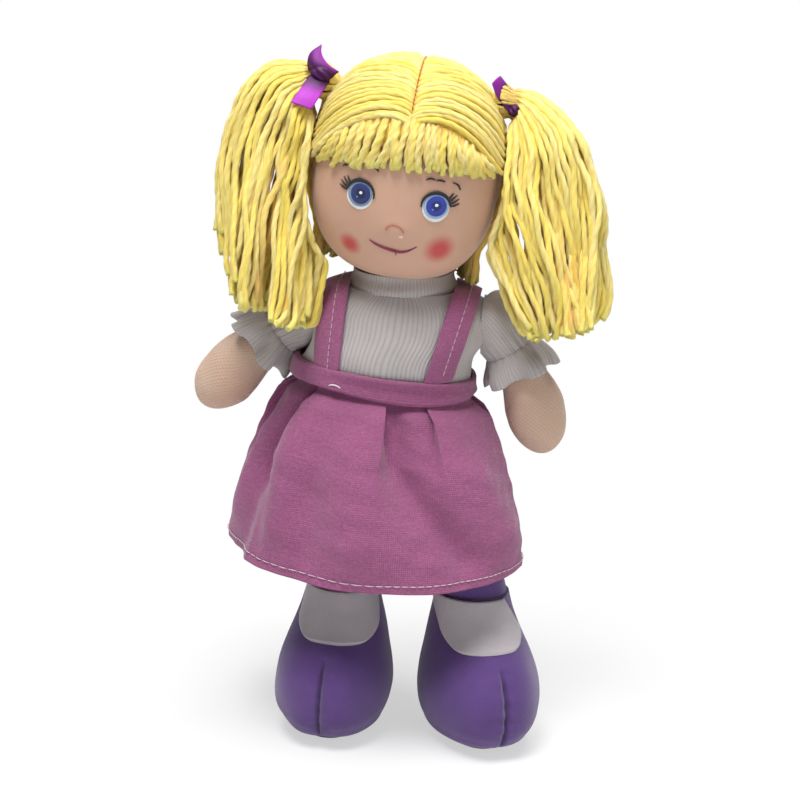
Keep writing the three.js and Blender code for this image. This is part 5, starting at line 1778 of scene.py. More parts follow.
@dataclass
class Face:
    """The satin head and the features sewn on it. Positions are in front view from the head's middle."""

    eye_half_spacing: float = 19.4
    eye_drop: float = 9.6
    eye_radius: float = 7.3
    cheeks: tuple[tuple[float, float, float], ...] = ((-21.6, -37.3, 8.5), (24.5, -32.3, 11.0))
    lid_thread: str = "15121A"
    mouth_thread: str = "8A2A50"
    # Ring, iris and pupil of the right and the left eye; the right eye's darker, greyer blues are painted shade
    eye_blues: tuple[tuple[str, str, str], ...] = (("7F95AE", "22306E", "121A40"), ("9DB8D8", "2B3D9E", "1B2670"))
    # Dashes of the right and the left brow, which is thin, broken and partly under the fringe
    brows: tuple[tuple[tuple[tuple[float, float], ...], ...], ...] = (
        (((-30.6, 2.2), (-29.4, 3.3), (-28.2, 3.1)), ((-15.6, 4.4), (-13.4, 5.0), (-11.6, 3.6))),
        (((12.4, 3.2), (14.6, 4.3), (17.0, 4.0)), ((17.4, 3.6), (19.6, 4.0), (22.0, 3.6)),
         ((25.8, 3.6), (28.6, 2.6), (30.2, 0.2))))

    def satin(self) -> Finish:
        """The head's finish, with rouge that fades from the middle of each cheek outwards.

        Returns:
            The finish.
        """
        spots = (to_frame(from_head(HEAD.front(np.array(x), np.array(z)))) for x, z, _ in self.cheeks)
        rouge = tuple(Shade("BE2C38", "Spot", radius * MM * 0.25, radius * MM, 0.85, 0.0, True,
                            tuple(float(c) for c in spot)) for spot, (_, _, radius) in zip(spots, self.cheeks))
        return replace(FACE_SATIN, shades=FACE_SATIN.shades + rouge)

    def build(self, effects: Effects, thread: Material) -> None:
        """Makes the head, with a low nose and a dip at the lips, and its features.

        Args:
            effects: The node groups.
            thread: Finish of the features.
        """
        latitude = np.linspace(-np.pi / 2 + 0.02, np.pi / 2 - 0.02, 110)[:, None]
        skin = HEAD.at(round_angles(160)[None, :], latitude)
        x, y, z = np.moveaxis(skin, -1, 0)
        nose = 1.9 * np.exp(-((x - 0.8) / 5.0) ** 2 - ((z + 24.0) / 4.0) ** 2)
        lips = -0.5 * np.exp(-(x / 11) ** 2 - ((z + 34.8) / 2.2) ** 2)
        relief = 0.35 * ripples(skin, 45, 60) + nose * ease(0, 20, -y) + lips * ease(0, 20, -y)
        head = from_head(skin + unit(skin) * relief[..., None])
        add_stuffed("satin_head", head, self.satin().material(effects), "head", "head")
        for side in Side:
            add_piece(f"sewn_eye_{side.word}", self.eye(side), thread, "head", f"eye_{side.word}")
        bridge = self.stroke([(-3.6, -25.7), (-3.2, -23.5), (-0.8, -21.8), (2.4, -22.0), (4.8, -23.8), (5.6, -25.4)],
                             (0.2, 0.5, 0.55, 0.5, 0.45, 0.25), 1.6, "C07A68")
        # A pale dot on the nose is a painted highlight
        nose_highlight = self.disc(4.4, -27.5, (1.1, 0.8), 1.0, "F3C9B2")
        add_piece("sewn_nose", [bridge, nose_highlight], thread, "head", "nose")
        smile = self.stroke([(-11.4, -32.2), (-8.5, -33.8), (-4.0, -35.2), (1.0, -36.0), (5.0, -36.2), (9.0, -34.8),
                             (13.0, -31.8)], (0.35, 0.6, 0.75, 0.95, 0.9, 0.65, 0.4), 0.1, self.mouth_thread)
        notch = self.stroke([(2.8, -36.0), (3.0, -38.4)], (0.7, 0.15), 0.1, self.mouth_thread)
        add_piece("sewn_mouth", [smile, notch], thread, "head", "mouth")

    def disc(self, x: float, z: float, radii: tuple[float, float], lift: float, colour: str,
             swell: float = 0.35) -> Patch:
        """A round patch of stitching that swells towards its middle by swell * (1 - r^4).

        Args:
            x: To the doll's left.
            z: Upwards.
            radii: Across and upwards.
            lift: How far out of the form, in millimetres.
            colour: Six hex digits.
            swell: Of the middle, in millimetres.

        Returns:
            The patch.
        """
        r = np.linspace(0.02, 1, 12)[:, None]
        along, up = x + r * radii[0] * np.cos(round_angles(36)), z + r * radii[1] * np.sin(round_angles(36))
        outer = HEAD.front(along, up, lift + swell * (1 - r**4))
        under = HEAD.front(along[::-1], up[::-1], lift - 0.5)
        return Patch(from_head(np.concatenate([outer, under])), sealed=True, colour=linear(colour))

    def stroke(self, corners: list[tuple[float, float]], widths: tuple[float, ...], lift: float, colour: str) -> Patch:
        """A line of stitching through points of the face, with a half width at each.

        Args:
            corners: x and z of the points.
            widths: Half widths at them.
            lift: How far out of the form, in millimetres.
            colour: Six hex digits.

        Returns:
            The patch.
        """
        line = through(np.array([(x, z, w) for (x, z), w in zip(corners, widths)]), 28)
        points = HEAD.front(line[:, 0], line[:, 1], lift + 0.15)[None]
        strand = tubes(points, np.maximum(line[:, 2], 0.12), unit(points), circle(10) * np.array([0.45, 1.0]))
        return Patch(from_head(strand), sealed=True, colour=linear(colour))

    def eye(self, side: Side) -> list[Patch]:
        """White crescent, pale ring, blue iris, dark pupil, two lights, upper lid, four lashes and a brow.

        Args:
            side: The doll's own.

        Returns:
            Its patches, from the back to the front.
        """
        sign, r = side.value, self.eye_radius
        x, z = sign * self.eye_half_spacing, -self.eye_drop
        ring, iris, pupil = self.eye_blues[side is Side.LEFT]
        patches = [
            self.disc(x, z - 0.7, (r * 0.93, r * 0.98), 0.25, "E9EDEE", 0.2),
            self.disc(x + 0.1, z + 0.1, (r * 0.86, r * 0.86), 0.55, ring, 0.2),
            self.disc(x + 0.3, z + 0.4, (r * 0.7, r * 0.72), 0.85, iris, 0.25),
            self.disc(x + 0.3, z + 0.7, (r * 0.36, r * 0.38), 1.1, pupil, 0.2),
            self.disc(x + 0.4, z + 1.0, (0.85, 0.75), 1.45, "E8F0F6", 0.2),
            self.disc(x - 1.2, z - 1.4, (0.5, 0.4), 1.2, "6E86C8", 0.1),
        ]
        sweep = np.radians(np.linspace(168, -8, 9) if sign < 0 else np.linspace(12, 188, 9))
        lid = [(x + r * np.cos(a), z + r * np.sin(a)) for a in sweep]
        patches.append(self.stroke(lid, (0.55, 0.7, 0.85, 0.95, 0.95, 0.85, 0.7, 0.6, 0.35), 0.6, self.lid_thread))
        for turn, length in ((171, 4.6), (160, 5.0), (149, 4.9), (139, 4.0)):
            a, b = np.radians((turn, turn - 12) if sign < 0 else (180 - turn, 192 - turn))
            root = (x + r * 0.98 * np.cos(a), z + r * 0.98 * np.sin(a))
            tip = (root[0] + length * np.cos(b), root[1] + length * np.sin(b))
            halfway = ((root[0] + tip[0]) / 2, (root[1] + tip[1]) / 2 - 0.35)
            patches.append(self.stroke([root, halfway, tip], (0.6, 0.55, 0.3), 0.35, self.lid_thread))
        for dash in self.brows[side is Side.LEFT]:
            patches.append(self.stroke(dash, (0.22, 0.5, 0.4), 0.3, self.lid_thread))
        return patches


@dataclass
class Hair:
    """Yarn hair: a ground, a crown of strands from the parting to two ties, a fringe, back hair and two bunches."""

    yarn: YarnForm = YarnForm(radius=1.45, pitch=15.0, lobe_share=0.09)
    loose_yarn: YarnForm = YarnForm(radius=1.6, pitch=16.0, lobe_share=0.1)
    fringe_yarn: YarnForm = YarnForm(radius=1.6, pitch=12.0, lobe_share=0.18, columns=10, tip_length=9.0)
    crown_strands: int = 102
    crown_arc: tuple[float, float] = (28.5, 222.0)
    head_radius: float = 52.0
    parting_stitches: int = 44
    parting_arc: tuple[float, float] = (37.0, 150.0)
    fringe_strands: int = 64
    fringe_half_width: float = 47.2
    pigtail_strands: int = 112
    pigtail_locks: int = 11
    pigtail_depth: float = 36.0
    pigtail_forward: float = 27.0
    tie_radius: float = 7.5
    back_strands: int = 66
    back_end: float = 258.5
    back_lowest: float = 257.2

    def build(self, material: Material, thread: Material) -> None:
        """Makes every piece of hair.

        Args:
            material: The yarn.
            thread: Finish of the parting's stitches.
        """
        self.build_ground(material)
        self.build_parting(thread)
        self.build_fringe(material)
        lowest = [self.build_crown(sizes, material) for sizes in BOTH_SIDES]
        self.build_back(np.concatenate(lowest), material)
        for sizes in BOTH_SIDES:
            self.build_pigtail(sizes, material)

    def build_ground(self, material: Material) -> None:
        """A close layer under the strands: from the crown down to an edge whose height goes with the angle.

        Args:
            material: The yarn.
        """
        turn = np.linspace(-np.pi, np.pi, 144, endpoint=False)
        edge = read_table(((0, 14), (0.7, 14), (1.25, 11), (1.62, 4), (1.8, -16), (2.1, -34), (np.pi, -36)),
                          np.abs(turn))[:, 0]
        low = np.arcsin(np.clip(edge / 58.0, -1, 1))
        share = shares(40)[:, None]
        latitude = mix(np.pi / 2 - 0.02, low, share)
        lift = 2.0 - 1.5 * ease(0.9, 1, share)
        outer = HEAD.at(turn[None, :] - np.pi / 2, latitude, lift)
        inner = HEAD.at(turn[None, :] - np.pi / 2, latitude[::-1], 0.15)
        wall = np.concatenate([outer, inner])
        # The ground, under the strands, carries a little painted shade
        add_piece("hair_ground", [Patch(from_head(wall), sealed=True, values={"buried": 0.15})], material, "head",
                  "hair_cap")

    def build_crown(self, sizes: SideSizes, material: Material) -> Array:
        """Strands of one side, from the parting over the head to the tie and along its tuft.

        A strand's way on the head turns evenly from its root to the tie. The front ones sink late, by a sine of the
        share to a power, to the curtain over the fringe, and the last ones at the nape.

        Args:
            sizes: The side's.
            material: The yarn.

        Returns:
            The last strand in the head's frame, the crown's lower edge at the back.
        """
        sign, count = sizes.side.value, self.crown_strands
        rng = np.random.default_rng(70 + sign)
        order = shares(count)
        around = np.radians(mix(*self.crown_arc, order)) + rng.normal(0, 0.005, count)
        start = joined(0.4 * sign, -HEAD.half_depth * np.cos(around), HEAD.half_height * np.sin(around))
        start = HEAD.towards(start)
        tie = np.array([sign * sizes.tie_reach, 0, sizes.tie_height])
        steps = shares(24)[None, :, None]
        front = (1 - ease(0, 0.2, order))[:, None, None]
        nape = (0.45 * ease(0.7, 1.0, order))[:, None, None]
        sway = 0.02 * np.sin(9 * order + sign)[:, None, None] + 0.012 * rng.normal(0, 1, (count, 1, 1))
        way = mix(start[:, None] / self.head_radius, HEAD.towards(tie)[None, None] / self.head_radius, steps)
        way = way + np.array([0.1 * sign, 0.05, -1.0]) * (0.52 * front * np.sin(np.pi * steps**2.1))
        way = way + np.array([0.25 * sign, -0.1, -0.75]) * (nape * np.sin(np.pi * steps**1.25))
        way = way + np.array([0, 0.5, 1.0]) * (sway + 0.05 * (1 - front)) * np.sin(np.pi * steps)
        layer = np.where(np.arange(count) % 2 == 0, 3.3, 2.9)[:, None]
        lift = layer * ease(-0.05, 0.1, steps[..., 0]) + 0.25 * rng.normal(0, 0.4, (count, 1))
        lift = lift + 0.35 * np.sin(5 * np.pi * steps[..., 0] + rng.uniform(0, 6, (count, 1)))
        on_head = HEAD.towards(way, lift)
        beta = np.arctan2(on_head[:, -5, 2] - tie[2], on_head[:, -5, 1])[:, None]
        ring = joined(0.0, np.cos(beta), np.sin(beta))
        reach = np.array([0.84, 0.92, 0.98, 1.02])[None, :, None] * sizes.tie_reach
        size = np.array([9.3, 7.4, 6.3, 6.0])[None, :, None]
        outwards = np.array([sign, 0, 0]) * reach + np.array([0, 0, tie[2]]) + ring * size
        lines = through(np.concatenate([on_head[:, :-4], outwards], 1), 64)
        along = shares(64)
        # Painted shade at the roots by the parting and where the strands crowd to the tie
        buried = 0.3 * (1 - ease(0.0, 0.04, along)) + 0.35 * ease(0.8, 0.93, along)
        patch = self.yarn.spin(from_head(lines), off_head(lines), 80 + sign,
                               mix(1.0, 0.6, ease(0.5, 0.95, along))[None, :], buried)
        patch.values["tip"] = 0.0
        add_piece(f"hair_crown_{sizes.side.word}", [patch], material, "head", "hair_cap")
        return on_head[-1, :-3]

    def build_parting(self, thread: Material) -> None:
        """Orange-brown backstitches along the parting, over the roots of the strands.

        Args:
            thread: Its finish.
        """
        middle = np.radians(np.linspace(*self.parting_arc, self.parting_stitches))
        part = middle[:, None] + np.linspace(-0.5, 0.5, 6)[None, :] * 0.036
        line = HEAD.towards(joined(0.0, -HEAD.half_depth * np.cos(part), HEAD.half_height * np.sin(part)), 2.7)
        line = line + unit(line) * (0.6 * np.sin(np.linspace(0, np.pi, 6)))[None, :, None]
        stitches = stitch_patch(from_head(line), off_head(line), 0.5, "C07A2A")
        add_piece("parting_thread", [stitches], thread, "head", "parting_stitch")

    def build_fringe(self, material: Material) -> None:
        """Cut strands from under the crown's front edge to just over the eyes, in two layers that cross a little.

        Args:
            material: The yarn.
        """
        rng = np.random.default_rng(91)
        count = self.fringe_strands
        across = np.sort(rng.permuted(np.tile(np.linspace(-1, 1, count // 2), 2)) + rng.normal(0, 0.02, count))
        under = np.arange(count) % 2
        root_x, root_z = 39.0 * across + rng.normal(0, 1.5, count), 33.0 - 15.0 * np.abs(across) ** 1.7
        lean = rng.normal(0, 2.0, count)
        tip_x = 46.5 * np.sign(across) * np.abs(across) ** 0.95 + lean
        tip_z = mix(2.6, 7.6, ease(-1, 1, across)) + 1.2 * (1 - across**2) + rng.normal(0, 1.5, count) + 1.2 * under
        t = shares(7)[None, :]
        x = mix(root_x[:, None], tip_x[:, None], t) + np.sin(np.pi * t) * rng.normal(0, 0.8, (count, 1))
        x = np.clip(x + 0.7 * np.sin(2 * np.pi * t + rng.uniform(0, 6, (count, 1))) * t, -self.fringe_half_width,
                    self.fringe_half_width)
        z = mix(root_z[:, None], tip_z[:, None], t)
        belly = np.sin(np.pi * t**0.8)
        lift = 1.5 + (2.4 - 1.3 * under[:, None]) * belly + rng.uniform(-0.3, 0.6, (count, 1)) * belly
        lines = through(HEAD.front(x, z, lift), 34)
        along = shares(34)
        sizes = mix(0.8, 1.0, ease(0, 0.3, along))[None, :] * rng.uniform(0.82, 1.1, (count, 1))
        # Painted shade at the roots and on the lower layer
        buried = 0.3 * (1 - ease(0.0, 0.3, along))[None, :] + 0.25 * under[:, None]
        patch = self.fringe_yarn.spin(from_head(lines), off_head(lines), 92, sizes, buried)
        add_piece("hair_fringe", [patch], material, "head", "fringe")

    def build_back(self, lowest: Array, material: Material) -> None:
        """Loose strands that hang from under the crown's lowest strands to just over the shoulders.

        Args:
            lowest: The crown's lower edge, in the head's frame.
            material: The yarn.
        """
        rng = np.random.default_rng(95)
        count = self.back_strands
        turn = np.radians(np.linspace(6, 174, count)) + rng.normal(0, 0.01, count)
        t = shares(14)[None, :]
        edge_turn = np.arctan2(lowest[:, 1], lowest[:, 0])
        order = np.argsort(edge_turn)
        edge = np.interp(turn, edge_turn[order], lowest[order, 2])[:, None]
        ends = HEAD_MIDDLE[2] - self.back_end + rng.uniform(-1.5, 1.5, count) - 2.5 * np.sin(turn)
        z = mix(np.minimum(18.0, edge + 9.0), -ends[:, None], t)
        latitude = np.arcsin(np.clip(z / 60, -0.62, 1))
        layer = mix(0.2, np.where(np.arange(count) % 2 == 0, 2.4, 4.4)[:, None], ease(-1.0, 11.0, edge - z))
        wide = HEAD.at(turn[:, None], latitude, layer)
        wide[..., 2] = z
        drift = rng.uniform(0, 6.28, (count, 2, 1))
        wide[..., 0] += 1.4 * np.sin(3 * np.pi * t + drift[:, 0]) * t
        wide[..., 1] += 1.2 * np.sin(2 * np.pi * t + drift[:, 1]) * t
        lines = through(from_head(wide), 60)
        lines[..., 2] = np.maximum(lines[..., 2], self.back_lowest)
        upright = joined(np.cos(turn), np.sin(turn), 0.0)[:, None]
        # Painted shade, deepest at the top under the crown
        buried = mix(0.6, 0.3, ease(0, 0.4, shares(60)))
        add_piece("hair_back", [self.loose_yarn.spin(lines, upright, 96, 1.0, buried)], material, "head",
                  "hair_cap")

    def build_pigtail(self, sizes: SideSizes, material: Material) -> None:
        """A bunch of loose strands between an outer and an inner edge, drawn together at the tie.

        The strands start in a sunflower pattern: the golden angle times the number, at a root of the share of the
        area. Downwards they lean to the middles of locks that sway, with a slow wave and a quick one of their own.

        Args:
            sizes: The side's.
            material: The yarn.
        """
        sign, word = sizes.side.value, sizes.side.word
        rng = np.random.default_rng(100 + sign)
        count, locks = self.pigtail_strands, self.pigtail_locks
        index = np.arange(count)
        radius, beta = ((index + 0.5) / count) ** 0.42, index * GOLDEN_ANGLE
        own = joined(radius * np.cos(beta), radius * np.sin(beta))
        ring = np.arange(locks)
        lock_radius = ((ring + 0.6) / locks) ** 0.5
        lock_at = joined(lock_radius * np.cos(ring * GOLDEN_ANGLE), lock_radius * np.sin(ring * GOLDEN_ANGLE))
        lock = np.linalg.norm(own[:, None] - lock_at[None], axis=-1).argmin(1)
        longest, slant = (0.955, 0.22) if sign < 0 else (0.865, 0.02)
        cut = longest - slant * np.clip(own[:, 0], 0, 1) ** 1.5
        cut = np.clip(cut + rng.normal(0, 0.034, locks)[lock] + rng.normal(0, 0.022, count), 0.6, 0.985)
        t = shares(26)[None, :] * cut[:, None]
        down = ease(0.22, 0.95, t)[..., None]
        gathered = mix(own[:, None], lock_at[lock][:, None], 0.6 * down)
        phase = rng.uniform(0, 6.28, (locks, 2))[lock][:, None]

        def sway(reach: tuple[float, float], turns: float, grown: Array, phase: Array) -> Array:
            """A wave down the strands, so far across and in depth."""
            return np.array(reach) * grown * np.sin(2 * np.pi * turns * t[..., None] + phase)

        at = gathered * np.array([0.92, 0.9]) + sway((0.17, 0.42), 0.9, down, phase)
        for reach, turns, grown in (((0.1, 0.2), 1.6, down), ((0.024, 0.05), 5.0, ease(0.1, 0.4, t)[..., None])):
            at = at + sway(reach, turns, grown, rng.uniform(0, 6.28, (count, 1, 2)))
        inwards = joined(mix(1.5, 1.0, ease(0.45, 0.85, t)), 1.0)
        at = at * np.where(at < 0, inwards, 1.08)
        scale = np.array([sign * sizes.pigtail_spread, sizes.pigtail_drop])
        outer, inner = (through(np.pad(np.array(edge) * scale, ((0, 0), (0, 1))), 201)[:, :2]
                        for edge in (sizes.outer_edge, sizes.inner_edge))
        outer_at, inner_at = (np.stack([np.interp(t * 200, np.arange(201), edge[:, k]) for k in (0, 1)], -1)
                              for edge in (outer, inner))
        flat = (outer_at + inner_at) / 2 + (outer_at - inner_at) / 2 * np.clip(at[..., :1], -1.5, 1.08)
        fullness = np.sin(mix(0.11, 0.75, t) * np.pi) * np.clip(t * 3, 0, 1)
        half_depth = mix(self.tie_radius, self.pigtail_depth / 2, fullness)
        y = -self.pigtail_forward * t + half_depth * at[..., 1]
        tie = np.array([sign * sizes.tie_reach, 0, sizes.tie_height])
        pivot = from_head(tie + np.array([sign * SEAM_GAP, 0, self.tie_radius]))
        control = joined(flat[..., 0], y, flat[..., 1]) + pivot
        hub = from_head(tie - np.array([sign * 7.0, 0, 0]))
        section = joined(0.0, 5.2 * own[:, 1], 5.2 * own[:, 0])
        lines = self.clear_of_head(through(np.concatenate([(hub + section)[:, None], control], 1), 98))
        along = shares(98)
        sizes_along = mix(0.5, 1.0, ease(0.02, 0.2, along))[None, :] * rng.uniform(0.86, 1.1, (count, 1))
        sizes_along = sizes_along * (1 + 0.12 * ease(0.97, 1, along)[None, :])
        # Painted shade on the inner strands and near the tie
        buried = (1 - ease(0.3, 0.75, radius))[:, None] * 0.6 + 0.3 * (1 - ease(0.0, 0.14, along))[None, :]
        patch = self.loose_yarn.spin(lines, np.array([0, -1.0, 0.05]), 110 + sign, sizes_along, buried)
        bunch = mesh_piece(f"hair_bunch_{word}", [patch], material)
        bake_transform(bunch)
        named(bunch, f"pigtail_{word}")

    def clear_of_head(self, lines: Array) -> Array:
        """Pushes what would lie in the head out to its hair's surface, away from the head's middle.

        Args:
            lines: Points in the doll's frame.

        Returns:
            The lines, clear of the head.
        """
        c, s = np.cos(HEAD_TILT), np.sin(HEAD_TILT)
        x, y, z = np.moveaxis(lines - HEAD_MIDDLE, -1, 0)
        local = joined(x * c - z * s, y, x * s + z * c)
        surface = HEAD.towards(unit(local), 6.4)
        short = np.linalg.norm(local, axis=-1) / np.linalg.norm(surface, axis=-1)
        share = np.where(np.arange(lines.shape[-2]) < 8, 0.0, np.clip(1 / short - 1, 0, 1))
        return from_head(local * (1 + share[..., None]))


@dataclass
class Ribbon:
    """A satin ribbon tied round the yarn: a turn, a folded knot and two cut ends.

    Attributes:
        knot_at, knot_sizes: The knot's middle in the head's frame and its half sizes.
        ends: For each cut end a net of points from the knot, four rows of four, in millimetres.
    """

    sizes: SideSizes
    knot_at: tuple[float, float, float]
    knot_sizes: tuple[float, float, float]
    ends: tuple[tuple[tuple[float, float, float], ...], ...]
    width: float = 12.0
    gather: float = 6.5
    tie_radius: float = 7.9

    def build(self, satin: Material) -> None:
        """Makes the ribbon of one side as strips with a little thickness.

        Args:
            satin: Its finish.
        """
        word = self.sizes.side.word
        cut_ends = (self.cut_end(np.array(net), 1.6 - index) for index, net in enumerate(self.ends))
        strips = [self.band(), self.knot(), *cut_ends]
        ribbon = add_piece(f"satin_ribbon_{word}", strips, satin, "head", f"ribbon_{word}", 0.35)

    def band(self) -> Patch:
        """The turn round the yarn, with gathers that run round it.

        Returns:
            The patch.
        """
        sign = self.sizes.side.value
        angle = round_angles(60)
        across = np.linspace(-1, 1, 15)[:, None]
        radius = self.tie_radius + 0.3 * np.cos(across * 11) + 0.2 * np.sin(3 * angle) - 0.6 * across**4
        half = self.gather / 2 * (1 + 0.15 * np.sin(2 * angle))
        points = joined(across * half, radius * np.cos(angle), radius * np.sin(angle))
        points = points + np.array([sign * (self.sizes.tie_reach - self.width / 2), 0, self.sizes.tie_height])
        # The turn round the yarn carries painted shade
        return Patch(from_head(points), values={"shade": 0.8})

    def knot(self) -> Patch:
        """A flattened knot, folded where the ribbon crosses itself: each half size times 1 + 0.17 cos(5a + 6b).

        Returns:
            The patch.
        """
        angle = round_angles(32)
        latitude = np.linspace(-np.pi / 2 + 0.05, np.pi / 2 - 0.05, 20)[:, None]
        crease = 1 + 0.17 * np.cos(5 * angle + 6 * latitude)
        way = joined(np.cos(latitude) * np.cos(angle) * crease, np.cos(latitude) * np.sin(angle) * crease,
                     np.sin(latitude))
        points = way * np.array(self.knot_sizes) + np.array(self.knot_at) - np.array([0, 2.6, 0])
        # The knot carries full painted shade
        return Patch(from_head(points), sealed=True, values={"shade": 1.0})

    def cut_end(self, net: Array, shaded: float) -> Patch:
        """A cut end as a smooth surface through its net, with painted shade towards the knot over the given share of
        it.

        Args:
            net: Sixteen points from the knot.
            shaded: The share.

        Returns:
            The patch.
        """
        rows = through(net.reshape(4, 4, 3), 16)
        grid = through(rows.transpose(1, 0, 2), 24).transpose(1, 0, 2)
        fade = 1 - ease(0.0, shaded, shares(24))[:, None]
        return Patch(from_head(grid + np.array(self.knot_at)), wraps=False, values={"shade": fade})


# The knot's middle and the nets of both ends of each ribbon, in millimetres, from the head's middle and the knot
RIBBON_SHAPES = {
    Side.RIGHT: {
        "knot_at": (-51.0, -7.0, 43.0), "knot_sizes": (5.4, 2.8, 4.0),
        "ends": (
            ((-7.6, 0.5, 0.4), (-3.4, -1.8, -0.6), (1.0, -2.0, -1.2), (5.2, -1.0, -1.6),
             (-8.6, 0.0, 4.6), (-4.6, -3.4, 2.8), (1.2, -3.6, 1.4), (6.4, -1.4, -0.2),
             (-7.8, 1.0, 9.6), (-4.8, -1.8, 7.2), (0.4, -2.6, 4.8), (7.4, -1.2, 1.2),
             (-2.8, 2.5, 14.6), (-1.8, 0.5, 9.8), (2.0, -0.4, 5.6), (8.6, -0.8, 2.4)),
            ((-6.2, -2.0, -1.2), (-2.6, -3.2, -1.8), (1.2, -3.2, -2.4), (4.8, -2.0, -3.0),
             (-8.2, -6.8, -6.0), (-4.6, -7.6, -6.6), (-1.0, -7.6, -7.2), (2.6, -6.8, -7.8),
             (-10.2, -11.4, -10.8), (-6.6, -12.0, -11.4), (-3.0, -12.0, -12.0), (0.6, -11.4, -12.6),
             (-12.4, -14.6, -15.4), (-8.7, -15.1, -16.0), (-5.0, -15.1, -16.6), (-1.3, -14.6, -17.2))),
    },
    Side.LEFT: {
        "knot_at": (50.0, -4.0, 40.5), "knot_sizes": (3.2, 4.6, 3.4),
        "ends": (
            ((-1.8, -5.4, -1.6), (-1.4, -3.6, 0.2), (-0.8, -1.4, 2.0), (-0.2, 1.4, 3.6),
             (-6.2, -6.0, 2.0), (-5.4, -4.0, 4.2), (-4.2, -1.6, 6.2), (-3.0, 1.4, 7.8),
             (-10.4, -6.2, 6.4), (-9.4, -4.2, 8.8), (-7.8, -1.6, 10.8), (-6.4, 1.4, 12.4),
             (-13.6, -5.6, 12.0), (-12.6, -4.0, 13.6), (-11.4, -1.8, 15.0), (-10.2, 0.6, 16.0)),
            ((0.8, -4.6, -0.6), (0.8, -1.6, 0.2), (0.8, 1.6, 0.6), (0.8, 4.8, 0.8),
             (3.6, -4.8, 0.6), (3.4, -1.6, 1.6), (3.2, 1.6, 2.2), (3.0, 4.8, 2.6),
             (6.2, -4.8, 3.0), (5.8, -1.6, 4.2), (5.4, 1.6, 4.8), (5.0, 4.8, 5.2),
             (8.4, -4.6, 6.4), (7.8, -1.6, 7.6), (7.2, 1.6, 8.2), (6.6, 4.8, 8.4))),
    },
}


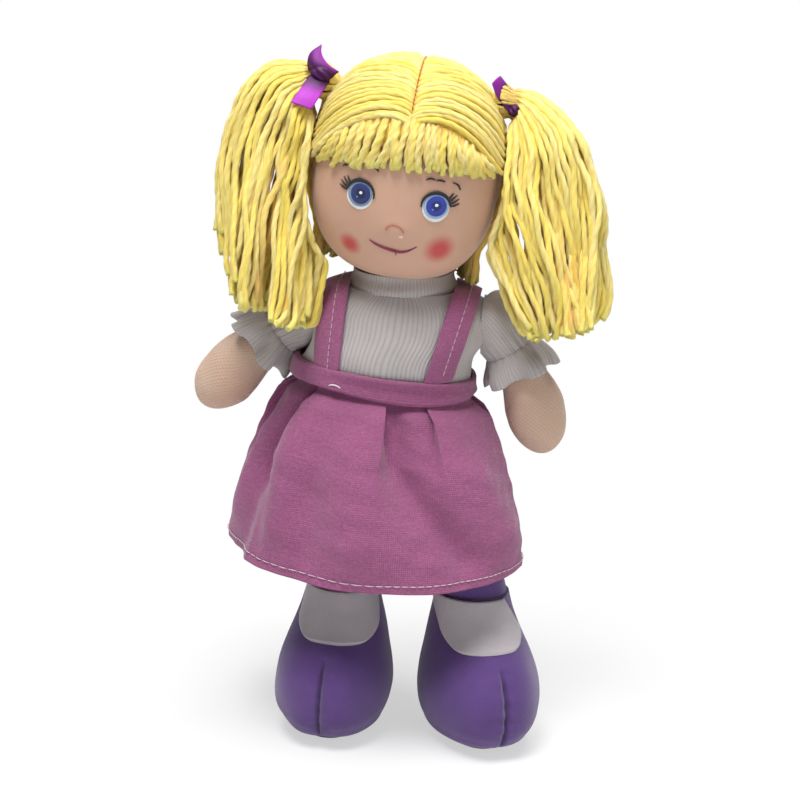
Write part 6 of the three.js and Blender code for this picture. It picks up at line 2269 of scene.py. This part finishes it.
@dataclass
class Studio:
    """Camera at the photograph's angle, soft lamps and a pale floor. Lengths in metres."""

    azimuth: float = VIEW_AZIMUTH
    elevation: float = 15.0
    distance: float = 1.0
    roll: float = 3.0
    focal_pixels: float = 1820.0
    image_pixels: float = 800.0
    target: tuple[float, float, float] = (1.5, 0.0, 188.0)
    lit_point: tuple[float, float, float] = (0.0, 0.0, 0.19)
    floor_reach: float = 12.0

    def build(self) -> None:
        """Sets the view and adds camera, lamps, world and floor."""
        bpy.context.scene.view_settings.view_transform = "Standard"
        self.add_camera()
        self.add_lamp("key_lamp", (-0.25, -0.6, 1.7), 0.6, 22.0)
        self.add_lamp("fill_lamp", (1.0, -1.0, 0.8), 1.1, 2.6)
        self.add_lamp("top_lamp", (0.2, -0.1, 1.7), 0.9, 17.0)
        self.light_world()
        self.lay_floor()

    @staticmethod
    def stand(name: str, data: bpy.types.ID, right: Array, up: Array, back: Array, spot: Array) -> Piece:
        """Adds a camera or lamp at a spot, with its own three directions.

        Args:
            name: Its name.
            data: The camera's or lamp's data.
            right, up, back: Its directions.
            spot: Its place.

        Returns:
            The object.
        """
        thing = bpy.data.objects.new(name, data)
        columns = np.eye(4)
        columns[:3] = joined(right, up, back, spot)
        thing.matrix_world = Matrix(columns.tolist())
        bpy.context.scene.collection.objects.link(thing)
        return thing

    def add_camera(self) -> None:
        """A camera on a line at the azimuth and elevation through the target, rolled about that line."""
        a, e, r = np.radians([self.azimuth, self.elevation, self.roll])
        back = np.array([np.sin(a) * np.cos(e), -np.cos(a) * np.cos(e), np.sin(e)])
        right = np.array([np.cos(a), np.sin(a), 0.0])
        up = np.cross(back, right)
        data = bpy.data.cameras.new("photo_camera")
        data.sensor_width = 36.0
        data.lens = self.focal_pixels / self.image_pixels * data.sensor_width
        bpy.context.scene.camera = self.stand(
            "photo_camera", data, np.cos(r) * right + np.sin(r) * up, np.cos(r) * up - np.sin(r) * right, back,
            to_frame(np.array(self.target)) + back * self.distance)

    def add_lamp(self, name: str, spot: tuple[float, float, float], size: float, power: float) -> None:
        """A square area lamp that looks at the doll's middle.

        Args:
            name: Its name.
            spot: Its place.
            size: Its side.
            power: In watts.
        """
        data = bpy.data.lights.new(name, "AREA")
        data.size = size
        data.energy = power
        back = unit(np.array(spot) - self.lit_point)
        right = unit(np.cross(UP, back))
        self.stand(name, data, right, np.cross(back, right), back, np.array(spot))

    @staticmethod
    def seen_directly(wires: Wiring) -> Socket:
        """1 for camera, glossy and transmission rays.

        Args:
            wires: The material's wiring.

        Returns:
            0 or 1.
        """
        path = wires.node("ShaderNodeLightPath").outputs
        both = wires.math("MAXIMUM", path["Is Camera Ray"], path["Is Glossy Ray"])
        return wires.math("MAXIMUM", both, path["Is Transmission Ray"])

    def light_world(self) -> None:
        """An even pale world that lights softly and is seen as white."""
        world = bpy.data.worlds.new("studio")
        world.use_nodes = True
        bpy.context.scene.world = world
        wires = Wiring(world.node_tree)
        background = world.node_tree.nodes["Background"].inputs
        wires.feed(background["Strength"], wires.ramp(self.seen_directly(wires), 0.0, 1.0, 0.24, 1.0))
        wires.feed(background["Color"], (1.0, 1.0, 1.0))

    def lay_floor(self) -> None:
        """A wide pale floor that keeps a soft shadow and fades to white away from the doll."""
        mesh = bpy.data.meshes.new("studio_floor")
        corners = np.array([(-1, -1, 0), (1, -1, 0), (1, 1, 0), (-1, 1, 0)]) * self.floor_reach
        mesh.from_pydata(corners.tolist(), [], [(0, 1, 2, 3)])
        floor = bpy.data.objects.new("studio_floor", mesh)
        material = bpy.data.materials.new("studio_floor")
        material.use_nodes = True
        wires = Wiring(material.node_tree)
        shader = material.node_tree.nodes["Principled BSDF"]
        wires.feed(shader.inputs["Base Color"], (0.86, 0.86, 0.86))
        wires.feed(shader.inputs["Roughness"], 0.9)
        spot = wires.node("ShaderNodeTexCoord").outputs["Object"]
        away = wires.node("ShaderNodeVectorMath", {0: spot}, operation="LENGTH").outputs["Value"]
        white = wires.math("MULTIPLY", self.seen_directly(wires), wires.ramp(away, 0.05, 0.42, 0.55, 1.0, True))
        glow = wires.node("ShaderNodeEmission", {"Color": (1.0, 1.0, 1.0), "Strength": 1.0})
        mixed = wires.node("ShaderNodeMixShader", {0: white, 1: shader.outputs[0], 2: glow.outputs[0]})
        wires.feed(material.node_tree.nodes["Material Output"].inputs["Surface"], mixed.outputs[0])
        mesh.materials.append(material)
        bpy.context.scene.collection.objects.link(floor)


def main() -> None:
    """Dresses the doll, piece by piece."""
    logging.basicConfig(level=logging.INFO, format="%(name)s: %(message)s")
    Studio().build()
    effects = Effects()
    linen, shirt, instep, arm, purple, yarn, satin, thread = (
        finish.material(effects) for finish in (LINEN_CLOTH, SHIRT_KNIT, INSTEP_KNIT, ARM_KNIT, PURPLE_CLOTH,
                                                YELLOW_YARN, RIBBON_SATIN, SEWN_THREAD))
    Body().build(arm, purple)
    RibbedShirt().build(shirt)
    Pinafore().build(linen, thread)
    Face().build(effects, thread)
    Hair().build(yarn, thread)
    for sizes in BOTH_SIDES:
        KnitArm(sizes).build(arm)
        Leg(sizes).build(purple, instep)
        Ribbon(sizes, **RIBBON_SHAPES[sizes.side]).build(satin)


if __name__ == "__main__":
    main()
